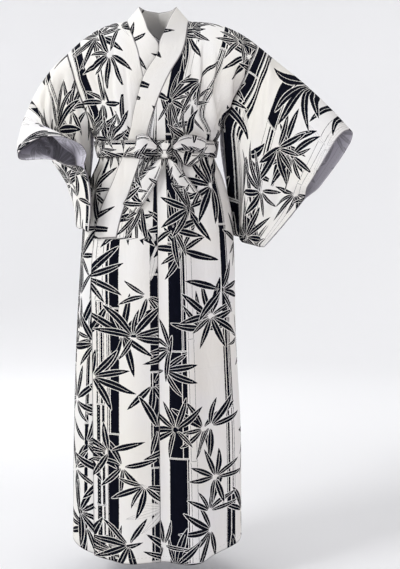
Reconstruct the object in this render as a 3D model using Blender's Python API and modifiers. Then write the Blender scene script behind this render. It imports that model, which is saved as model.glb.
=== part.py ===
"""A cotton yukata robe in its worn, hollow form, with its own narrow belt.

Metres, +Z up. The wearer faces -Y, so +X is the wearer's left. The origin is
the base of the neck, where the shoulders hold the robe up. Every cut piece is
a thin wall of its own: two body lengths, two overlap panels, two sleeves, the
collar band, and the belt with its knot, loops and tails. The left front lies
over the right front. Heights in the tables are measured up from the hem.
"""
import math
from collections import namedtuple

import bmesh
import bpy
import numpy as np

# Driving sizes
MOUNT_HEIGHT = 1.43  # neck base above the hem
BELT_HEIGHT = 1.115
NECK_HALF = 0.085  # half the width of the neck hole, at the shoulder line
NECK_HEIGHT = 1.460
SEAM_GAP = 0.0003  # air between two pieces sewn together
NECK_GAP = 0.0013  # the same at the neckline, where the two walls meet at an angle
ARMHOLE_GAP = 0.0020
WALL = 0.0016  # one layer of cotton with its soft surface
COLLAR_WALL = 0.0026  # folded collar band
BELT_WALL = 0.0022
UNDER_DEPTH = 0.007  # how far the covered right front lies inside the left front
BELT_WIDTH = 0.044
BELT_LIFT = 0.0036
BELT_POINT_GAP = 0.008  # panel points closer than this count once in the belt
SLEEVE_DEPTH = 0.43  # shoulder fold down to the lower fold
COLLAR_END = 0.88  # height where the collar band ends on the front edge
NOTCH = 0.005  # the band's end slants down by this much toward the free edge

# How finely the walls are divided
LOW_ROWS = 12  # skirt rows up to the collar's end
HIGH_ROWS = 4  # from there up to the belt
TOP_ROWS = 13  # from the belt over to the shoulder line
V_ROW = 7  # row above the belt where the collars cross
NAPE_ROW = 9  # row above the belt where the back neckline starts
ARMPIT_ROW = 1  # row above the belt where the sleeve starts
PANEL_COLUMNS = 10
OKUMI_COLUMNS = 5
COLLAR_COLUMNS = 3
SLEEVE_STEPS = 14
FREE_STEPS = 5  # points of a sleeve ring below the armhole
STRIP_COLUMNS = 2
SHOWN_COLUMN = 4  # first column of the right front that is clear of the left collar at the belt
BELT_ROW = LOW_ROWS + HIGH_ROWS + 2  # row at the belt's upper edge
CREST_ROW = BELT_ROW + TOP_ROWS

# Shape constants
ROUNDNESS = 2.3  # exponent of the body sections, 2 is an ellipse
SHOULDER_RADIUS = 0.055
SHOULDER_DEEPEN = 0.12  # depth below the shoulder line where its rounding has widened to twice
DOME_HEIGHT = 0.050
DOME_WIDTH = 0.045
LEAN_LOW = 1.10  # the middle plane starts to move back at this height
LEAN_HIGH = 1.35
BACK_SHIFT = 0.012
SIDE_OPEN_LOW = 1.135  # the side seam gives way to the armhole between these heights
SIDE_OPEN_HIGH = 1.17
ARMHOLE_TURN = 1.25  # from here up the armhole runs out to the shoulder point
ROW_CROWDING = 1.8  # rows get closer together toward the shoulder line
OKUMI_TIP = 0.0025  # width left at an overlap panel's tip
OKUMI_TIP_RISE = 0.02
SLEEVE_TOP_ROUND = 0.055  # depth over which a sleeve's top fold is rounded
SLEEVE_LOW_ROUND = 0.02
SLEEVE_FLAT = 0.010  # half the room left in the hanging bag of a sleeve
SEWN_ROOM = 0.0014  # half the room between the walls where the cuff is sewn shut
CUFF_OPENING = 0.21  # height of the hand opening

Section = namedtuple("Section", "name height left right front back")
SECTIONS = (
    Section("hem", 0.00, 0.232, 0.245, 0.175, 0.165),
    Section("shin", 0.35, 0.229, 0.240, 0.165, 0.155),
    Section("knee", 0.60, 0.215, 0.230, 0.155, 0.150),
    Section("thigh", 0.85, 0.209, 0.213, 0.142, 0.146),
    Section("hip", 0.95, 0.201, 0.204, 0.134, 0.142),
    Section("high_hip", 1.03, 0.180, 0.187, 0.124, 0.125),
    Section("waist", 1.115, 0.153, 0.161, 0.112, 0.102),
    Section("blouse", 1.165, 0.176, 0.186, 0.126, 0.112),
    Section("chest", 1.26, 0.228, 0.224, 0.126, 0.118),
    Section("upper_chest", 1.32, 0.265, 0.255, 0.116, 0.120),
    Section("shoulder", 1.38, 0.300, 0.290, 0.100, 0.108),
    Section("neck", 1.47, 0.310, 0.300, 0.074, 0.084),
)

# The front opening. seam joins the body and the overlap panel, collar is where
# the collar band is sewn on, edge is the free edge of that front.
Opening = namedtuple("Opening", "height seam collar edge")
LEFT_OPENING = (
    Opening(0.00, 0.010, -0.120, -0.175),
    Opening(0.30, 0.008, -0.120, -0.174),
    Opening(0.60, 0.006, -0.119, -0.172),
    Opening(0.85, 0.004, -0.114, -0.168),
    Opening(0.93, 0.003, -0.098, -0.155),
    Opening(1.02, 0.001, -0.066, -0.122),
    Opening(1.115, 0.000, -0.034, -0.084),
    Opening(1.176, 0.001, -0.018, -0.066),
    Opening(1.241, 0.0035, 0.0035, -0.0526),
    Opening(1.311, 0.035, 0.035, -0.031),
    Opening(1.372, 0.070, 0.070, 0.006),
    Opening(1.4614, 0.085, 0.085, 0.030),
)
RIGHT_OPENING = (
    Opening(0.00, -0.010, 0.096, 0.150),
    Opening(0.30, -0.008, 0.096, 0.151),
    Opening(0.60, -0.006, 0.096, 0.151),
    Opening(0.85, -0.004, 0.096, 0.151),
    Opening(0.93, -0.003, 0.092, 0.148),
    Opening(1.02, -0.001, 0.064, 0.120),
    Opening(1.115, 0.000, 0.033, 0.084),
    Opening(1.176, -0.001, 0.010, 0.062),
    Opening(1.241, -0.0150, -0.0150, 0.040),
    Opening(1.311, -0.037, -0.037, 0.020),
    Opening(1.372, -0.050, -0.050, 0.008),
    Opening(1.4614, -0.085, -0.085, -0.030),
)
OKUMI_TOP = 1.235  # the overlap panels taper out at this height

# Free edge of the collar round the neck, from the front of the V to the nape
NeckEdge = namedtuple("NeckEdge", "place way x y height")
NECK_EDGE_FRONT = (
    NeckEdge("v", 0.0, 0.0095, -0.100, 1.383),
    NeckEdge("hollow", 0.5, 0.030, -0.062, 1.452),
    NeckEdge("side", 1.0, 0.050, 0.008, 1.500),
)
NECK_EDGE_BACK = (
    NeckEdge("nape", 0.0, 0.000, 0.078, 1.495),
    NeckEdge("turn", 0.5, 0.034, 0.058, 1.498),
    NeckEdge("side", 1.0, 0.050, 0.008, 1.500),
)

# Shoulder line from the neck point out to the armhole
Shoulder = namedtuple("Shoulder", "side reach drop power forward armhole")
SHOULDERS = {
    1: Shoulder("left", 0.267, 0.072, 2.30, -0.072, 0.93),
    -1: Shoulder("right", 0.245, 0.085, 1.90, -0.002, 0.93),
}

# Long folds. Angles go round the body from the front middle, + to the wearer's
# left; depth is out of the surface, - a trough.
Fold = namedtuple("Fold", "name low_angle top_angle width low_depth top_depth top")
FOLDS = (
    Fold("overlap_crease", 8, 4, 9, -0.010, -0.004, 1.08),
    Fold("left_front_ridge", 29, 20, 11, 0.010, 0.004, 1.06),
    Fold("left_front_trough", 50, 40, 10, -0.013, -0.005, 1.08),
    Fold("left_side_ridge", 70, 63, 10, 0.009, 0.004, 1.07),
    Fold("right_front_ridge", -22, -14, 12, 0.008, 0.003, 1.05),
    Fold("right_front_trough", -40, -34, 9, -0.007, -0.004, 1.08),
    Fold("right_side_ridge", -68, -58, 11, 0.010, 0.004, 1.07),
    Fold("left_hind_trough", 112, 116, 11, -0.012, -0.004, 1.07),
    Fold("left_back_ridge", 135, 132, 12, 0.013, 0.004, 1.06),
    Fold("left_back_trough", 158, 152, 10, -0.010, -0.004, 1.08),
    Fold("right_back_ridge", -163, -165, 12, 0.010, 0.004, 1.06),
    Fold("right_back_trough", -140, -144, 11, -0.012, -0.005, 1.08),
    Fold("right_hind_ridge", -117, -120, 12, 0.010, 0.004, 1.06),
)

# The hem hangs a little higher toward the sides
Hem = namedtuple("Hem", "angle rise")
HEM = (
    Hem(-180, 0.012),
    Hem(-135, 0.016),
    Hem(-95, 0.042),
    Hem(-70, 0.030),
    Hem(-50, 0.006),
    Hem(0, 0.002),
    Hem(46, 0.002),
    Hem(66, 0.026),
    Hem(92, 0.042),
    Hem(135, 0.016),
    Hem(180, 0.012),
)
HEM_FADE = 0.40  # height over which the rise dies out

# Drag folds of the bodice, straight lines on the front (-1) or the back (+1)
Drag = namedtuple("Drag", "name face x0 height0 x1 height1 width depth")
DRAGS = (
    Drag("left_chest", -1, 0.075, 1.16, 0.200, 1.33, 0.020, -0.007),
    Drag("left_chest_ridge", -1, 0.115, 1.15, 0.215, 1.28, 0.018, 0.006),
    Drag("right_chest", -1, -0.100, 1.16, -0.190, 1.31, 0.022, -0.006),
    Drag("right_chest_ridge", -1, -0.060, 1.17, -0.130, 1.33, 0.020, 0.005),
    Drag("left_back", 1, 0.060, 1.15, 0.170, 1.36, 0.024, -0.008),
    Drag("right_back", 1, -0.050, 1.15, -0.165, 1.34, 0.024, -0.008),
    Drag("middle_back", 1, 0.010, 1.16, -0.015, 1.38, 0.022, 0.006),
)

# Sleeves: along the arm from armhole (0) to cuff (1), the shoulder fold, the
# middle and the lower fold of the cloth tube, and half the room for the arm.
Tube = namedtuple("Tube", "along tx ty th mx my mh bx by bh room")
LEFT_SLEEVE = (
    Tube(0.00, 0.267, -0.060, 1.388, 0.213, 0.034, 1.120, 0.212, 0.085, 0.872, 0.050),
    Tube(0.25, 0.328, -0.100, 1.334, 0.266, -0.050, 1.092, 0.236, 0.015, 0.862, 0.052),
    Tube(0.50, 0.386, -0.145, 1.280, 0.314, -0.100, 1.058, 0.254, -0.030, 0.856, 0.050),
    Tube(0.75, 0.442, -0.184, 1.222, 0.360, -0.145, 1.030, 0.270, -0.060, 0.852, 0.047),
    Tube(1.00, 0.494, -0.220, 1.160, 0.406, -0.185, 1.012, 0.288, -0.085, 0.852, 0.044),
)
RIGHT_SLEEVE = (
    Tube(0.00, -0.245, 0.010, 1.375, -0.206, 0.030, 1.130, -0.206, 0.095, 0.922, 0.052),
    Tube(0.25, -0.303, 0.022, 1.322, -0.251, 0.012, 1.105, -0.220, 0.060, 0.908, 0.050),
    Tube(0.50, -0.350, 0.025, 1.250, -0.257, -0.012, 1.085, -0.222, 0.000, 0.900, 0.050),
    Tube(0.75, -0.378, 0.000, 1.172, -0.247, -0.074, 1.085, -0.212, -0.072, 0.897, 0.048),
    Tube(1.00, -0.374, -0.065, 1.105, -0.206, -0.128, 1.086, -0.180, -0.138, 0.896, 0.046),
)

# Hanging folds of the sleeves, deeper downward
Swing = namedtuple("Swing", "along width depth")
LEFT_SWINGS = (Swing(0.14, 0.10, -0.022), Swing(0.38, 0.11, 0.016), Swing(0.66, 0.12, -0.012))
RIGHT_SWINGS = (Swing(0.24, 0.12, 0.012), Swing(0.52, 0.12, 0.003), Swing(0.78, 0.12, 0.010))

# Belt ends and loops of the bow: places along each strip, out from the robe's
# surface by lift, and half of its width as a step across, up and outward.
Strip = namedtuple("Strip", "way x height lift across up out")
LOOP_RIGHT = (
    Strip(0.00, 0.0024, 1.119, 0.0200, 0.000, 0.014, 0.000),
    Strip(0.25, -0.030, 1.128, 0.0300, 0.000, 0.024, 0.004),
    Strip(0.50, -0.055, 1.119, 0.0200, 0.003, 0.027, 0.002),
    Strip(0.75, -0.032, 1.112, 0.0092, 0.000, 0.024, 0.000),
    Strip(1.00, 0.0020, 1.113, 0.0110, 0.000, 0.014, 0.000),
)
LOOP_LEFT = (
    Strip(0.00, 0.0432, 1.119, 0.0200, 0.000, 0.014, 0.002),
    Strip(0.25, 0.085, 1.131, 0.0290, 0.000, 0.019, 0.008),
    Strip(0.50, 0.129, 1.118, 0.0210, 0.004, 0.019, 0.006),
    Strip(0.75, 0.100, 1.086, 0.0120, 0.010, 0.018, 0.000),
    Strip(1.00, 0.0440, 1.106, 0.0120, 0.001, 0.013, 0.000),
)
TAIL_RIGHT = (
    Strip(0.00, 0.0125, 1.0885, 0.0188, 0.009, -0.001, 0.000),
    Strip(0.33, -0.014, 1.046, 0.0110, 0.019, -0.010, 0.002),
    Strip(0.66, -0.042, 1.002, 0.0080, 0.022, -0.012, -0.001),
    Strip(1.00, -0.071, 0.957, 0.0065, 0.021, -0.012, 0.001),
)
TAIL_LEFT = (
    Strip(0.00, 0.0335, 1.0885, 0.0188, 0.009, 0.001, 0.000),
    Strip(0.33, 0.050, 1.050, 0.0110, 0.016, 0.008, -0.002),
    Strip(0.66, 0.079, 1.012, 0.0080, 0.018, 0.012, 0.001),
    Strip(1.00, 0.108, 0.973, 0.0065, 0.018, 0.012, 0.000),
)
LOOP_STEPS = 16
TAIL_STEPS = 9
KNOT_X = 0.023
KNOT_HEIGHT = 1.110
KNOT_LIFT = 0.0190
KNOT_SIZE = (0.047, 0.026, 0.053)  # of the cage, which the rounding shrinks

# Colours
CREAM = (0.90, 0.88, 0.83, 1.0)


def ease(t):
    """Smooth step from 0 to 1."""
    t = np.clip(t, 0.0, 1.0)
    return t * t * (3 - 2 * t)


def curve(table, key, column, at):
    """A smooth curve through one named column of a table."""
    keys = np.array([getattr(row, key) for row in table])
    values = np.array([getattr(row, column) for row in table])
    slopes = np.gradient(values, keys)
    at = np.clip(at, keys[0], keys[-1])
    i = np.clip(np.searchsorted(keys, at, side="right") - 1, 0, len(keys) - 2)
    width = keys[i + 1] - keys[i]
    t = (at - keys[i]) / width
    start = values[i] * (1 + 2 * t) * (1 - t) ** 2 + slopes[i] * width * t * (1 - t) ** 2
    end = values[i + 1] * t * t * (3 - 2 * t) + slopes[i + 1] * width * t * t * (t - 1)
    return start + end


def half_width(x, height):
    """Half the width of the section at a height, on the side that x is on."""
    left = curve(SECTIONS, "height", "left", height)
    right = curve(SECTIONS, "height", "right", height)
    return np.where(x >= 0, left, right)


def reach(face, height):
    """How far the section stands out in front (-1) or behind (+1)."""
    return curve(SECTIONS, "height", "front" if face < 0 else "back", height)


def by_side(x, name):
    """A value of the shoulder table, for the side that each x is on."""
    return np.where(np.asarray(x) >= 0, getattr(SHOULDERS[1], name), getattr(SHOULDERS[-1], name))


def shoulder_way(x):
    """0 at the neck point, 1 at the armhole."""
    return np.clip((np.abs(x) - NECK_HALF) / (by_side(x, "reach") - NECK_HALF), 0, 1.3)


def shoulder_height(x):
    """Height of the shoulder line, bridged over the neck hole by a low dome."""
    dome = DOME_HEIGHT * np.exp(-(np.asarray(x) / DOME_WIDTH) ** 2)
    return NECK_HEIGHT + dome - by_side(x, "drop") * shoulder_way(x) ** by_side(x, "power")


def centre_y(x, height):
    """Depth of the middle between front and back; the left shoulder leans forward."""
    lean = by_side(x, "forward") * shoulder_way(x) ** 1.5
    return (BACK_SHIFT + lean) * ease((height - LEAN_LOW) / (LEAN_HIGH - LEAN_LOW))


def depth(face, x, height, lift):
    """How far the form stands out from its middle, in front or behind."""
    wide = half_width(x, height) + lift
    across = np.clip(np.abs(x) / wide, 0, 1)
    torso = (reach(face, height) + lift) * (1 - across**ROUNDNESS) ** (1 / ROUNDNESS)
    rise = np.maximum(shoulder_height(x) - height, 0)
    over = np.sqrt(2 * SHOULDER_RADIUS * rise) * (1 + (rise / SHOULDER_DEEPEN) ** 2)
    return torso * over / (torso**4 + over**4 + 1e-16) ** 0.25


def fold_depth(face, x, y, height):
    """Out of the surface, the long folds of the skirt and the drags of the bodice."""
    angle = np.degrees(np.arctan2(x, -y))
    total = np.zeros_like(angle)
    for fold in FOLDS:
        up = np.clip(height / BELT_HEIGHT, 0, 1)
        middle = fold.low_angle + (fold.top_angle - fold.low_angle) * up
        away = (angle - middle + 180) % 360 - 180
        size = fold.low_depth + (fold.top_depth - fold.low_depth) * up
        fade = ease((fold.top + 0.06 - height) / 0.12)
        total = total + size * fade * np.exp(-((away / fold.width) ** 2))
    for drag in DRAGS:
        if drag.face != face:
            continue
        run, climb = drag.x1 - drag.x0, drag.height1 - drag.height0
        length = math.hypot(run, climb)
        way = ((x - drag.x0) * run + (height - drag.height0) * climb) / length**2
        away = ((x - drag.x0) * climb - (height - drag.height0) * run) / length
        fade = ease(way / 0.25) * ease((1 - way) / 0.25)
        total = total + drag.depth * fade * np.exp(-((away / drag.width) ** 2))
    return total


def form(face, x, height, lift=0.0):
    """Points on the front or back of the worn robe, as an array (..., 3)."""
    x, height, lift = np.broadcast_arrays(*(np.asarray(each, float) for each in (x, height, lift)))
    middle = centre_y(x, height)
    y = middle + face * depth(face, x, height, lift)
    out = np.stack([x, y - middle], axis=-1)
    out = out / (np.linalg.norm(out, axis=-1, keepdims=True) + 1e-9)
    size = fold_depth(face, x, y - middle, height) * ease((shoulder_height(x) - height) / 0.06)
    rise = curve(HEM, "angle", "rise", np.degrees(np.arctan2(x, middle - y)))
    z = height + rise * np.clip(1 - height / HEM_FADE, 0, 1) ** 2 - MOUNT_HEIGHT
    return np.stack([x + out[..., 0] * size, y + out[..., 1] * size, z], axis=-1)


def section_x(angle, height):
    """X of the point seen at an angle round the body, 0 in front."""
    side = np.sin(angle)
    wide = half_width(side, height)
    deep = np.where(np.cos(angle) > 0, reach(-1, height), reach(1, height))
    total = np.abs(side / wide) ** ROUNDNESS + np.abs(np.cos(angle) / deep) ** ROUNDNESS
    return side * total ** (-1 / ROUNDNESS)


def under_lift(x, height):
    """The right front sinks inward where the left front covers it."""
    edge = curve(LEFT_OPENING, "height", "edge", height)
    fade = ease((1.445 - height) / 0.05)
    return -UNDER_DEPTH * ease((x - edge + 0.032) / 0.045) * fade


def row_heights(side, u):
    """Heights of all rows of a body length at a fraction u of its width, inner to outer."""
    low = np.linspace(0, COLLAR_END - NOTCH, LOW_ROWS + 1)
    high = np.linspace(COLLAR_END, BELT_HEIGHT - BELT_WIDTH / 2, HIGH_ROWS + 1)
    belt_top = BELT_HEIGHT + BELT_WIDTH / 2
    skirt = np.concatenate([low, high, [belt_top]])[:, None] + 0 * u[None, :]
    top_x = NECK_HALF + (SHOULDERS[side].reach - NECK_HALF) * u
    crest = shoulder_height(side * top_x)
    t = np.linspace(0, 1, TOP_ROWS + 1)[1:, None]
    top = belt_top + (crest - belt_top)[None, :] * (1 - (1 - t) ** ROW_CROWDING)
    return np.vstack([skirt, top])


def inner_x(side, face, heights):
    """X of the inner edge of a body face: centre seam and neckline, or front seam."""
    if face < 0:
        opening = LEFT_OPENING if side > 0 else RIGHT_OPENING
        seam = np.where(heights < OKUMI_TOP, curve(opening, "height", "seam", heights), 0)
        collar = curve(opening, "height", "collar", heights)
        return np.where(heights < OKUMI_TOP, seam, collar) + side * SEAM_GAP / 2
    row = np.arange(len(heights)) - BELT_ROW
    neckline = NECK_HALF * np.clip((row - NAPE_ROW) / (TOP_ROWS - NAPE_ROW), 0, 1) ** 0.85
    return side * (SEAM_GAP / 2 + neckline)


def body_face(side, face):
    """Rows of points of one face of a body length, hem row first."""
    u = np.linspace(0, 1, PANEL_COLUMNS + 1)
    heights = row_heights(side, u)
    inner = inner_x(side, face, heights[:, 0])
    start = np.arctan2(inner, -face * depth(face, inner, heights[:, 0], 0))
    angle = start[:, None] + (side * math.pi / 2 - start[:, None]) * u[None, :]
    around = section_x(angle, heights)
    edge = half_width(side, heights[:, -1]) * armhole_share(side, heights[:, -1])
    edge = np.where(np.arange(len(edge)) == len(edge) - 1, SHOULDERS[side].reach, edge)
    straight = inner[:, None] + (side * edge[:, None] - inner[:, None]) * u[None, :]
    mix = ease((heights - SIDE_OPEN_LOW) / (2 * (SIDE_OPEN_HIGH - SIDE_OPEN_LOW)))
    x = around * (1 - mix) + straight * mix
    x[:, 0] = inner
    covered = side < 0 and face < 0
    points = form(face, x, heights, under_lift(x, heights) if covered else 0.0)
    points[:, -1, 1] += face * SEAM_GAP / 2
    return points


def armhole_share(side, height):
    """The outer edge's part of the section's half width; the side opens above the belt."""
    crest = float(shoulder_height(side * SHOULDERS[side].reach))
    share = 1 - (1 - SHOULDERS[side].armhole) * ease(
        (height - SIDE_OPEN_LOW) / (SIDE_OPEN_HIGH - SIDE_OPEN_LOW)
    )
    last = SHOULDERS[side].reach / float(half_width(side, crest))
    turn = ease((height - ARMHOLE_TURN) / (crest - ARMHOLE_TURN))
    return share + (last - SHOULDERS[side].armhole) * turn


def okumi(side):
    """Rows of points of an overlap panel, from its body seam to its outer edge."""
    opening = LEFT_OPENING if side > 0 else RIGHT_OPENING
    heights = row_heights(side, np.zeros(1))[:, 0]
    heights = heights[heights < OKUMI_TOP + OKUMI_TIP_RISE]
    seam = curve(opening, "height", "seam", heights) - side * SEAM_GAP / 2
    free = curve(opening, "height", "edge", heights)
    sewn = curve(opening, "height", "collar", heights) + side * SEAM_GAP / 2
    outer = np.where(heights < COLLAR_END, free, sewn)
    tip = heights >= OKUMI_TOP
    outer = np.where(tip, inner_x(side, -1, heights) - side * OKUMI_TIP, outer)
    seam = np.where(tip, inner_x(side, -1, heights) - side * SEAM_GAP, seam)
    u = np.linspace(0, 1, OKUMI_COLUMNS + 1)
    x = seam[:, None] + (outer - seam)[:, None] * u[None, :]
    tall = heights[:, None] + 0 * x
    lift = under_lift(x, tall) if side < 0 else 0.0
    return form(-1, x, tall, lift)


def front_rows(body, overlap):
    """Where the collar is sewn on one front, from the collar's end up to the shoulder line."""
    seam = []
    for row in range(LOW_ROWS + 1, CREST_ROW + 1):
        sewn = row < len(overlap)
        edge, inside = (overlap[row][-1], overlap[row][-2]) if sewn else (body[row][0], body[row][1])
        way = (edge - inside) / np.linalg.norm(edge - inside)
        gap = SEAM_GAP + (NECK_GAP - SEAM_GAP) * float(ease((row - BELT_ROW - V_ROW + 3) / 4))
        seam.append(edge + way * gap)
    return np.array(seam)


def collar_half(side, body_front, body_back, overlap):
    """Rows across the collar band of one side, from its front end round to the nape."""
    opening = LEFT_OPENING if side > 0 else RIGHT_OPENING
    share = np.linspace(0, 1, COLLAR_COLUMNS + 1)
    rows = []
    v_row = BELT_ROW + V_ROW
    for step, seam in enumerate(front_rows(body_front, overlap)):
        row = LOW_ROWS + 1 + step
        tall = seam[2] + MOUNT_HEIGHT
        way = max(0.0, (row - v_row) / (CREST_ROW - v_row))
        edge_x = float(curve(opening, "height", "edge", min(tall, 1.372)))
        edge_tall = tall - (NOTCH - 0.0012 if step == 0 else 0.0)
        x = seam[0] + (edge_x - seam[0]) * share
        heights = tall + (edge_tall - tall) * share
        lift = under_lift(x, heights) if side < 0 else 0.0
        low = form(-1, x, heights, lift)
        low[0] = seam
        if step == 0:
            low[:, 2] += 2 * SEAM_GAP
        high = seam + (neck_edge(NECK_EDGE_FRONT, side, way) - seam) * share[:, None]
        rows.append(low + (high - low) * ease(way / 0.35))
    for row in range(CREST_ROW - 1, BELT_ROW + NAPE_ROW - 1, -1):
        way = (row - BELT_ROW - NAPE_ROW) / (TOP_ROWS - NAPE_ROW)
        edge, inside = body_back[row][0], body_back[row][1]
        seam = edge + (edge - inside) / np.linalg.norm(edge - inside) * NECK_GAP
        if row == BELT_ROW + NAPE_ROW:
            seam = edge * np.array([0, 1, 1]) + np.array([0, 0, NECK_GAP])
        rows.append(seam + (neck_edge(NECK_EDGE_BACK, side, way) - seam) * share[:, None])
    return rows


def neck_edge(table, side, way):
    """The collar's free edge beside the neck."""
    x, y, height = (float(curve(table, "way", column, way)) for column in ("x", "y", "height"))
    return np.array([side * x, y, height - MOUNT_HEIGHT])


def sleeve_centre(table, along, down):
    """Middle of the cloth tube at a place along the arm and a share of its depth."""
    centre = np.array([0, 0, -MOUNT_HEIGHT])
    weights = {"t": (1 - 2 * down) * (1 - down), "m": 4 * down * (1 - down), "b": down * (2 * down - 1)}
    for letter, weight in weights.items():
        point = [float(curve(table, "along", letter + axis, along)) for axis in "xyh"]
        centre = centre + weight * np.array(point)
    return centre


def sleeve_normal(table, side, along, down):
    """Unit vector out of the sleeve's front wall."""
    before, after = max(along - 0.05, 0), min(along + 0.05, 1)
    run_at = down * float(ease((down - 0.3) / 0.3))
    run = sleeve_centre(table, after, run_at) - sleeve_centre(table, before, run_at)
    fall = sleeve_centre(table, along, 1) - sleeve_centre(table, along, 0)
    out = np.cross(run, fall)
    return -side * out / np.linalg.norm(out)


def sleeve_room(table, along, down):
    """Half the distance between the front and back walls of a sleeve."""
    room = float(curve(table, "along", "room", along))
    deep = down * SLEEVE_DEPTH
    round_top = math.sqrt(max(0.0, 1 - (1 - min(deep / SLEEVE_TOP_ROUND, 1)) ** 2))
    from_low = (SLEEVE_DEPTH - deep) / SLEEVE_LOW_ROUND
    round_low = math.sqrt(max(0.0, 1 - max(0.0, 1 - from_low) ** 2))
    room = room + (SLEEVE_FLAT - room) * float(ease((deep - 0.08) / 0.28))
    shut = float(ease((along - 0.80) / 0.18) * ease((deep - CUFF_OPENING) / 0.05))
    return (room * round_top * (1 - shut) + SEWN_ROOM * shut) * round_low


def sleeve(side, body_front, body_back):
    """Rings of points round a sleeve, from the armhole to the cuff."""
    table = LEFT_SLEEVE if side > 0 else RIGHT_SLEEVE
    swings = LEFT_SWINGS if side > 0 else RIGHT_SWINGS
    armhole = {}
    for face, body in ((-1, body_front), (1, body_back)):
        points = []
        for row in range(CREST_ROW, BELT_ROW + ARMPIT_ROW - 1, -1):
            way = body[row][-1] - body[row][-2]
            points.append(body[row][-1] + way / np.linalg.norm(way) * ARMHOLE_GAP)
        armhole[face] = points
    crest = armhole[-1][0] * 0.5 + armhole[1][0] * 0.5
    lengths = [0.0]
    for a, b in zip(armhole[-1], armhole[-1][1:]):
        lengths.append(lengths[-1] + float(np.linalg.norm(b - a)))
    sewn = [length / SLEEVE_DEPTH for length in lengths]
    free = [sewn[-1] + (1 - sewn[-1]) * k / FREE_STEPS for k in range(1, FREE_STEPS)]
    free += [1 - 0.006 / SLEEVE_DEPTH]
    downs = sewn + free
    ring_places = [(-1, down) for down in downs] + [(-1, 1.0)]
    ring_places += [(1, down) for down in downs[:0:-1]]

    def wall_point(along, face, down):
        swing = 0.0
        for fold in swings:
            swing += fold.depth * math.exp(-(((along - fold.along) / fold.width) ** 2))
        swing *= float(ease(down / 0.9)) * float(ease(along / 0.12))
        normal = sleeve_normal(table, side, along, down)
        away = -face * sleeve_room(table, along, down) + swing
        return sleeve_centre(table, along, down) + normal * away

    shifts = []
    for face, down in ring_places:
        if down <= sewn[-1] + 1e-9:
            index = sewn.index(down)
            root = crest if index == 0 else armhole[face][index]
            shifts.append(root - wall_point(0.0, face, down))
        else:
            fade = 1 - float(ease((down - sewn[-1]) / 0.38))
            shifts.append((armhole[face][-1] - wall_point(0.0, face, sewn[-1])) * fade)
    rings = []
    for step in range(SLEEVE_STEPS + 1):
        along = step / SLEEVE_STEPS
        fade = 1 - float(ease(along / 0.5))
        ring = []
        for place, shift in zip(ring_places, shifts):
            ring.append(wall_point(along, *place) + shift * fade)
        rings.append(ring)
    return rings


def spaced(points, least):
    """Places in a list of points that lie further apart than a least distance."""
    picked = []
    for i, point in enumerate(points):
        if all(np.linalg.norm(point - points[k]) > least for k in picked):
            picked.append(i)
    return picked


def belt_rows(left, right, overlap, band):
    """Two rings of points round the waist, the panels' own points moved out by the belt's lift.

    left and right hold the back and front rows of each body length, overlap
    the left overlap panel's rows and band the left half of the collar.
    """
    rings = []
    picked = None
    for row in (BELT_ROW - 1, BELT_ROW):
        collar_row = band[row - LOW_ROWS - 1]
        shown = right["front"][row][SHOWN_COLUMN:][::-1]
        ring = list(right["back"][row][::-1]) + list(left["back"][row])
        ring += list(left["front"][row][::-1]) + list(overlap[row])
        ring += list(collar_row) + list(shown[::-1])
        if picked is None:
            picked = spaced(ring, BELT_POINT_GAP)
        kept = np.array([ring[i] for i in picked])
        out = kept * np.array([1, 1, 0])
        out = out / np.linalg.norm(out, axis=1, keepdims=True)
        rings.append(kept + out * BELT_LIFT)
    return rings


def strip_rows(table, steps):
    """Rows across a belt end or loop, along its length."""
    rows = []
    for step in range(steps + 1):
        way = step / steps
        values = [float(curve(table, "way", name, way)) for name in Strip._fields[1:]]
        x, height, lift, across, up, out = values
        share = np.linspace(-1, 1, STRIP_COLUMNS + 1)
        rows.append(form(-1, x + across * share, height + up * share, lift + out * share))
    return rows


def knot(name, collection):
    """The knot, a soft block rounded from a cube."""
    shape = bmesh.new()
    bmesh.ops.create_cube(shape, size=1.0)
    bmesh.ops.scale(shape, vec=KNOT_SIZE, verts=shape.verts)
    mesh = bpy.data.meshes.new(name)
    shape.to_mesh(mesh)
    shape.free()
    mesh.shade_smooth()
    built = bpy.data.objects.new(name, mesh)
    built.location = form(-1, KNOT_X, KNOT_HEIGHT, KNOT_LIFT)
    soft = built.modifiers.new("soft", "SUBSURF")
    soft.levels = 2
    soft.render_levels = 2
    collection.objects.link(built)
    return built


def grid_wall(name, rows, wall, collection, closed=False):
    """A sheet of points given a wall's thickness; closed joins each row's two ends."""
    count, width = len(rows), len(rows[0])
    mesh = bpy.data.meshes.new(name)
    points = [tuple(p) for row in rows for p in row]
    span = width if closed else width - 1
    faces = []
    for i in range(count - 1):
        for j in range(span):
            k = (j + 1) % width
            faces.append((i * width + j, i * width + k, (i + 1) * width + k, (i + 1) * width + j))
    mesh.from_pydata(points, [], faces)
    mesh.update()
    built = bpy.data.objects.new(name, mesh)
    collection.objects.link(built)
    solid = built.modifiers.new("wall", "SOLIDIFY")
    solid.thickness = wall
    solid.offset = 0.0
    mesh.shade_smooth()
    return built


def clear_objects():
    """An empty start."""
    for old in list(bpy.data.objects):
        bpy.data.objects.remove(old)


def finish(built, colour):
    """Gives a piece a material of its own."""
    material = bpy.data.materials.new(built.name)
    material.use_nodes = True
    shader = material.node_tree.nodes["Principled BSDF"]
    shader.inputs["Base Color"].default_value = colour
    shader.inputs["Roughness"].default_value = 0.85
    built.data.materials.append(material)


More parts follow.
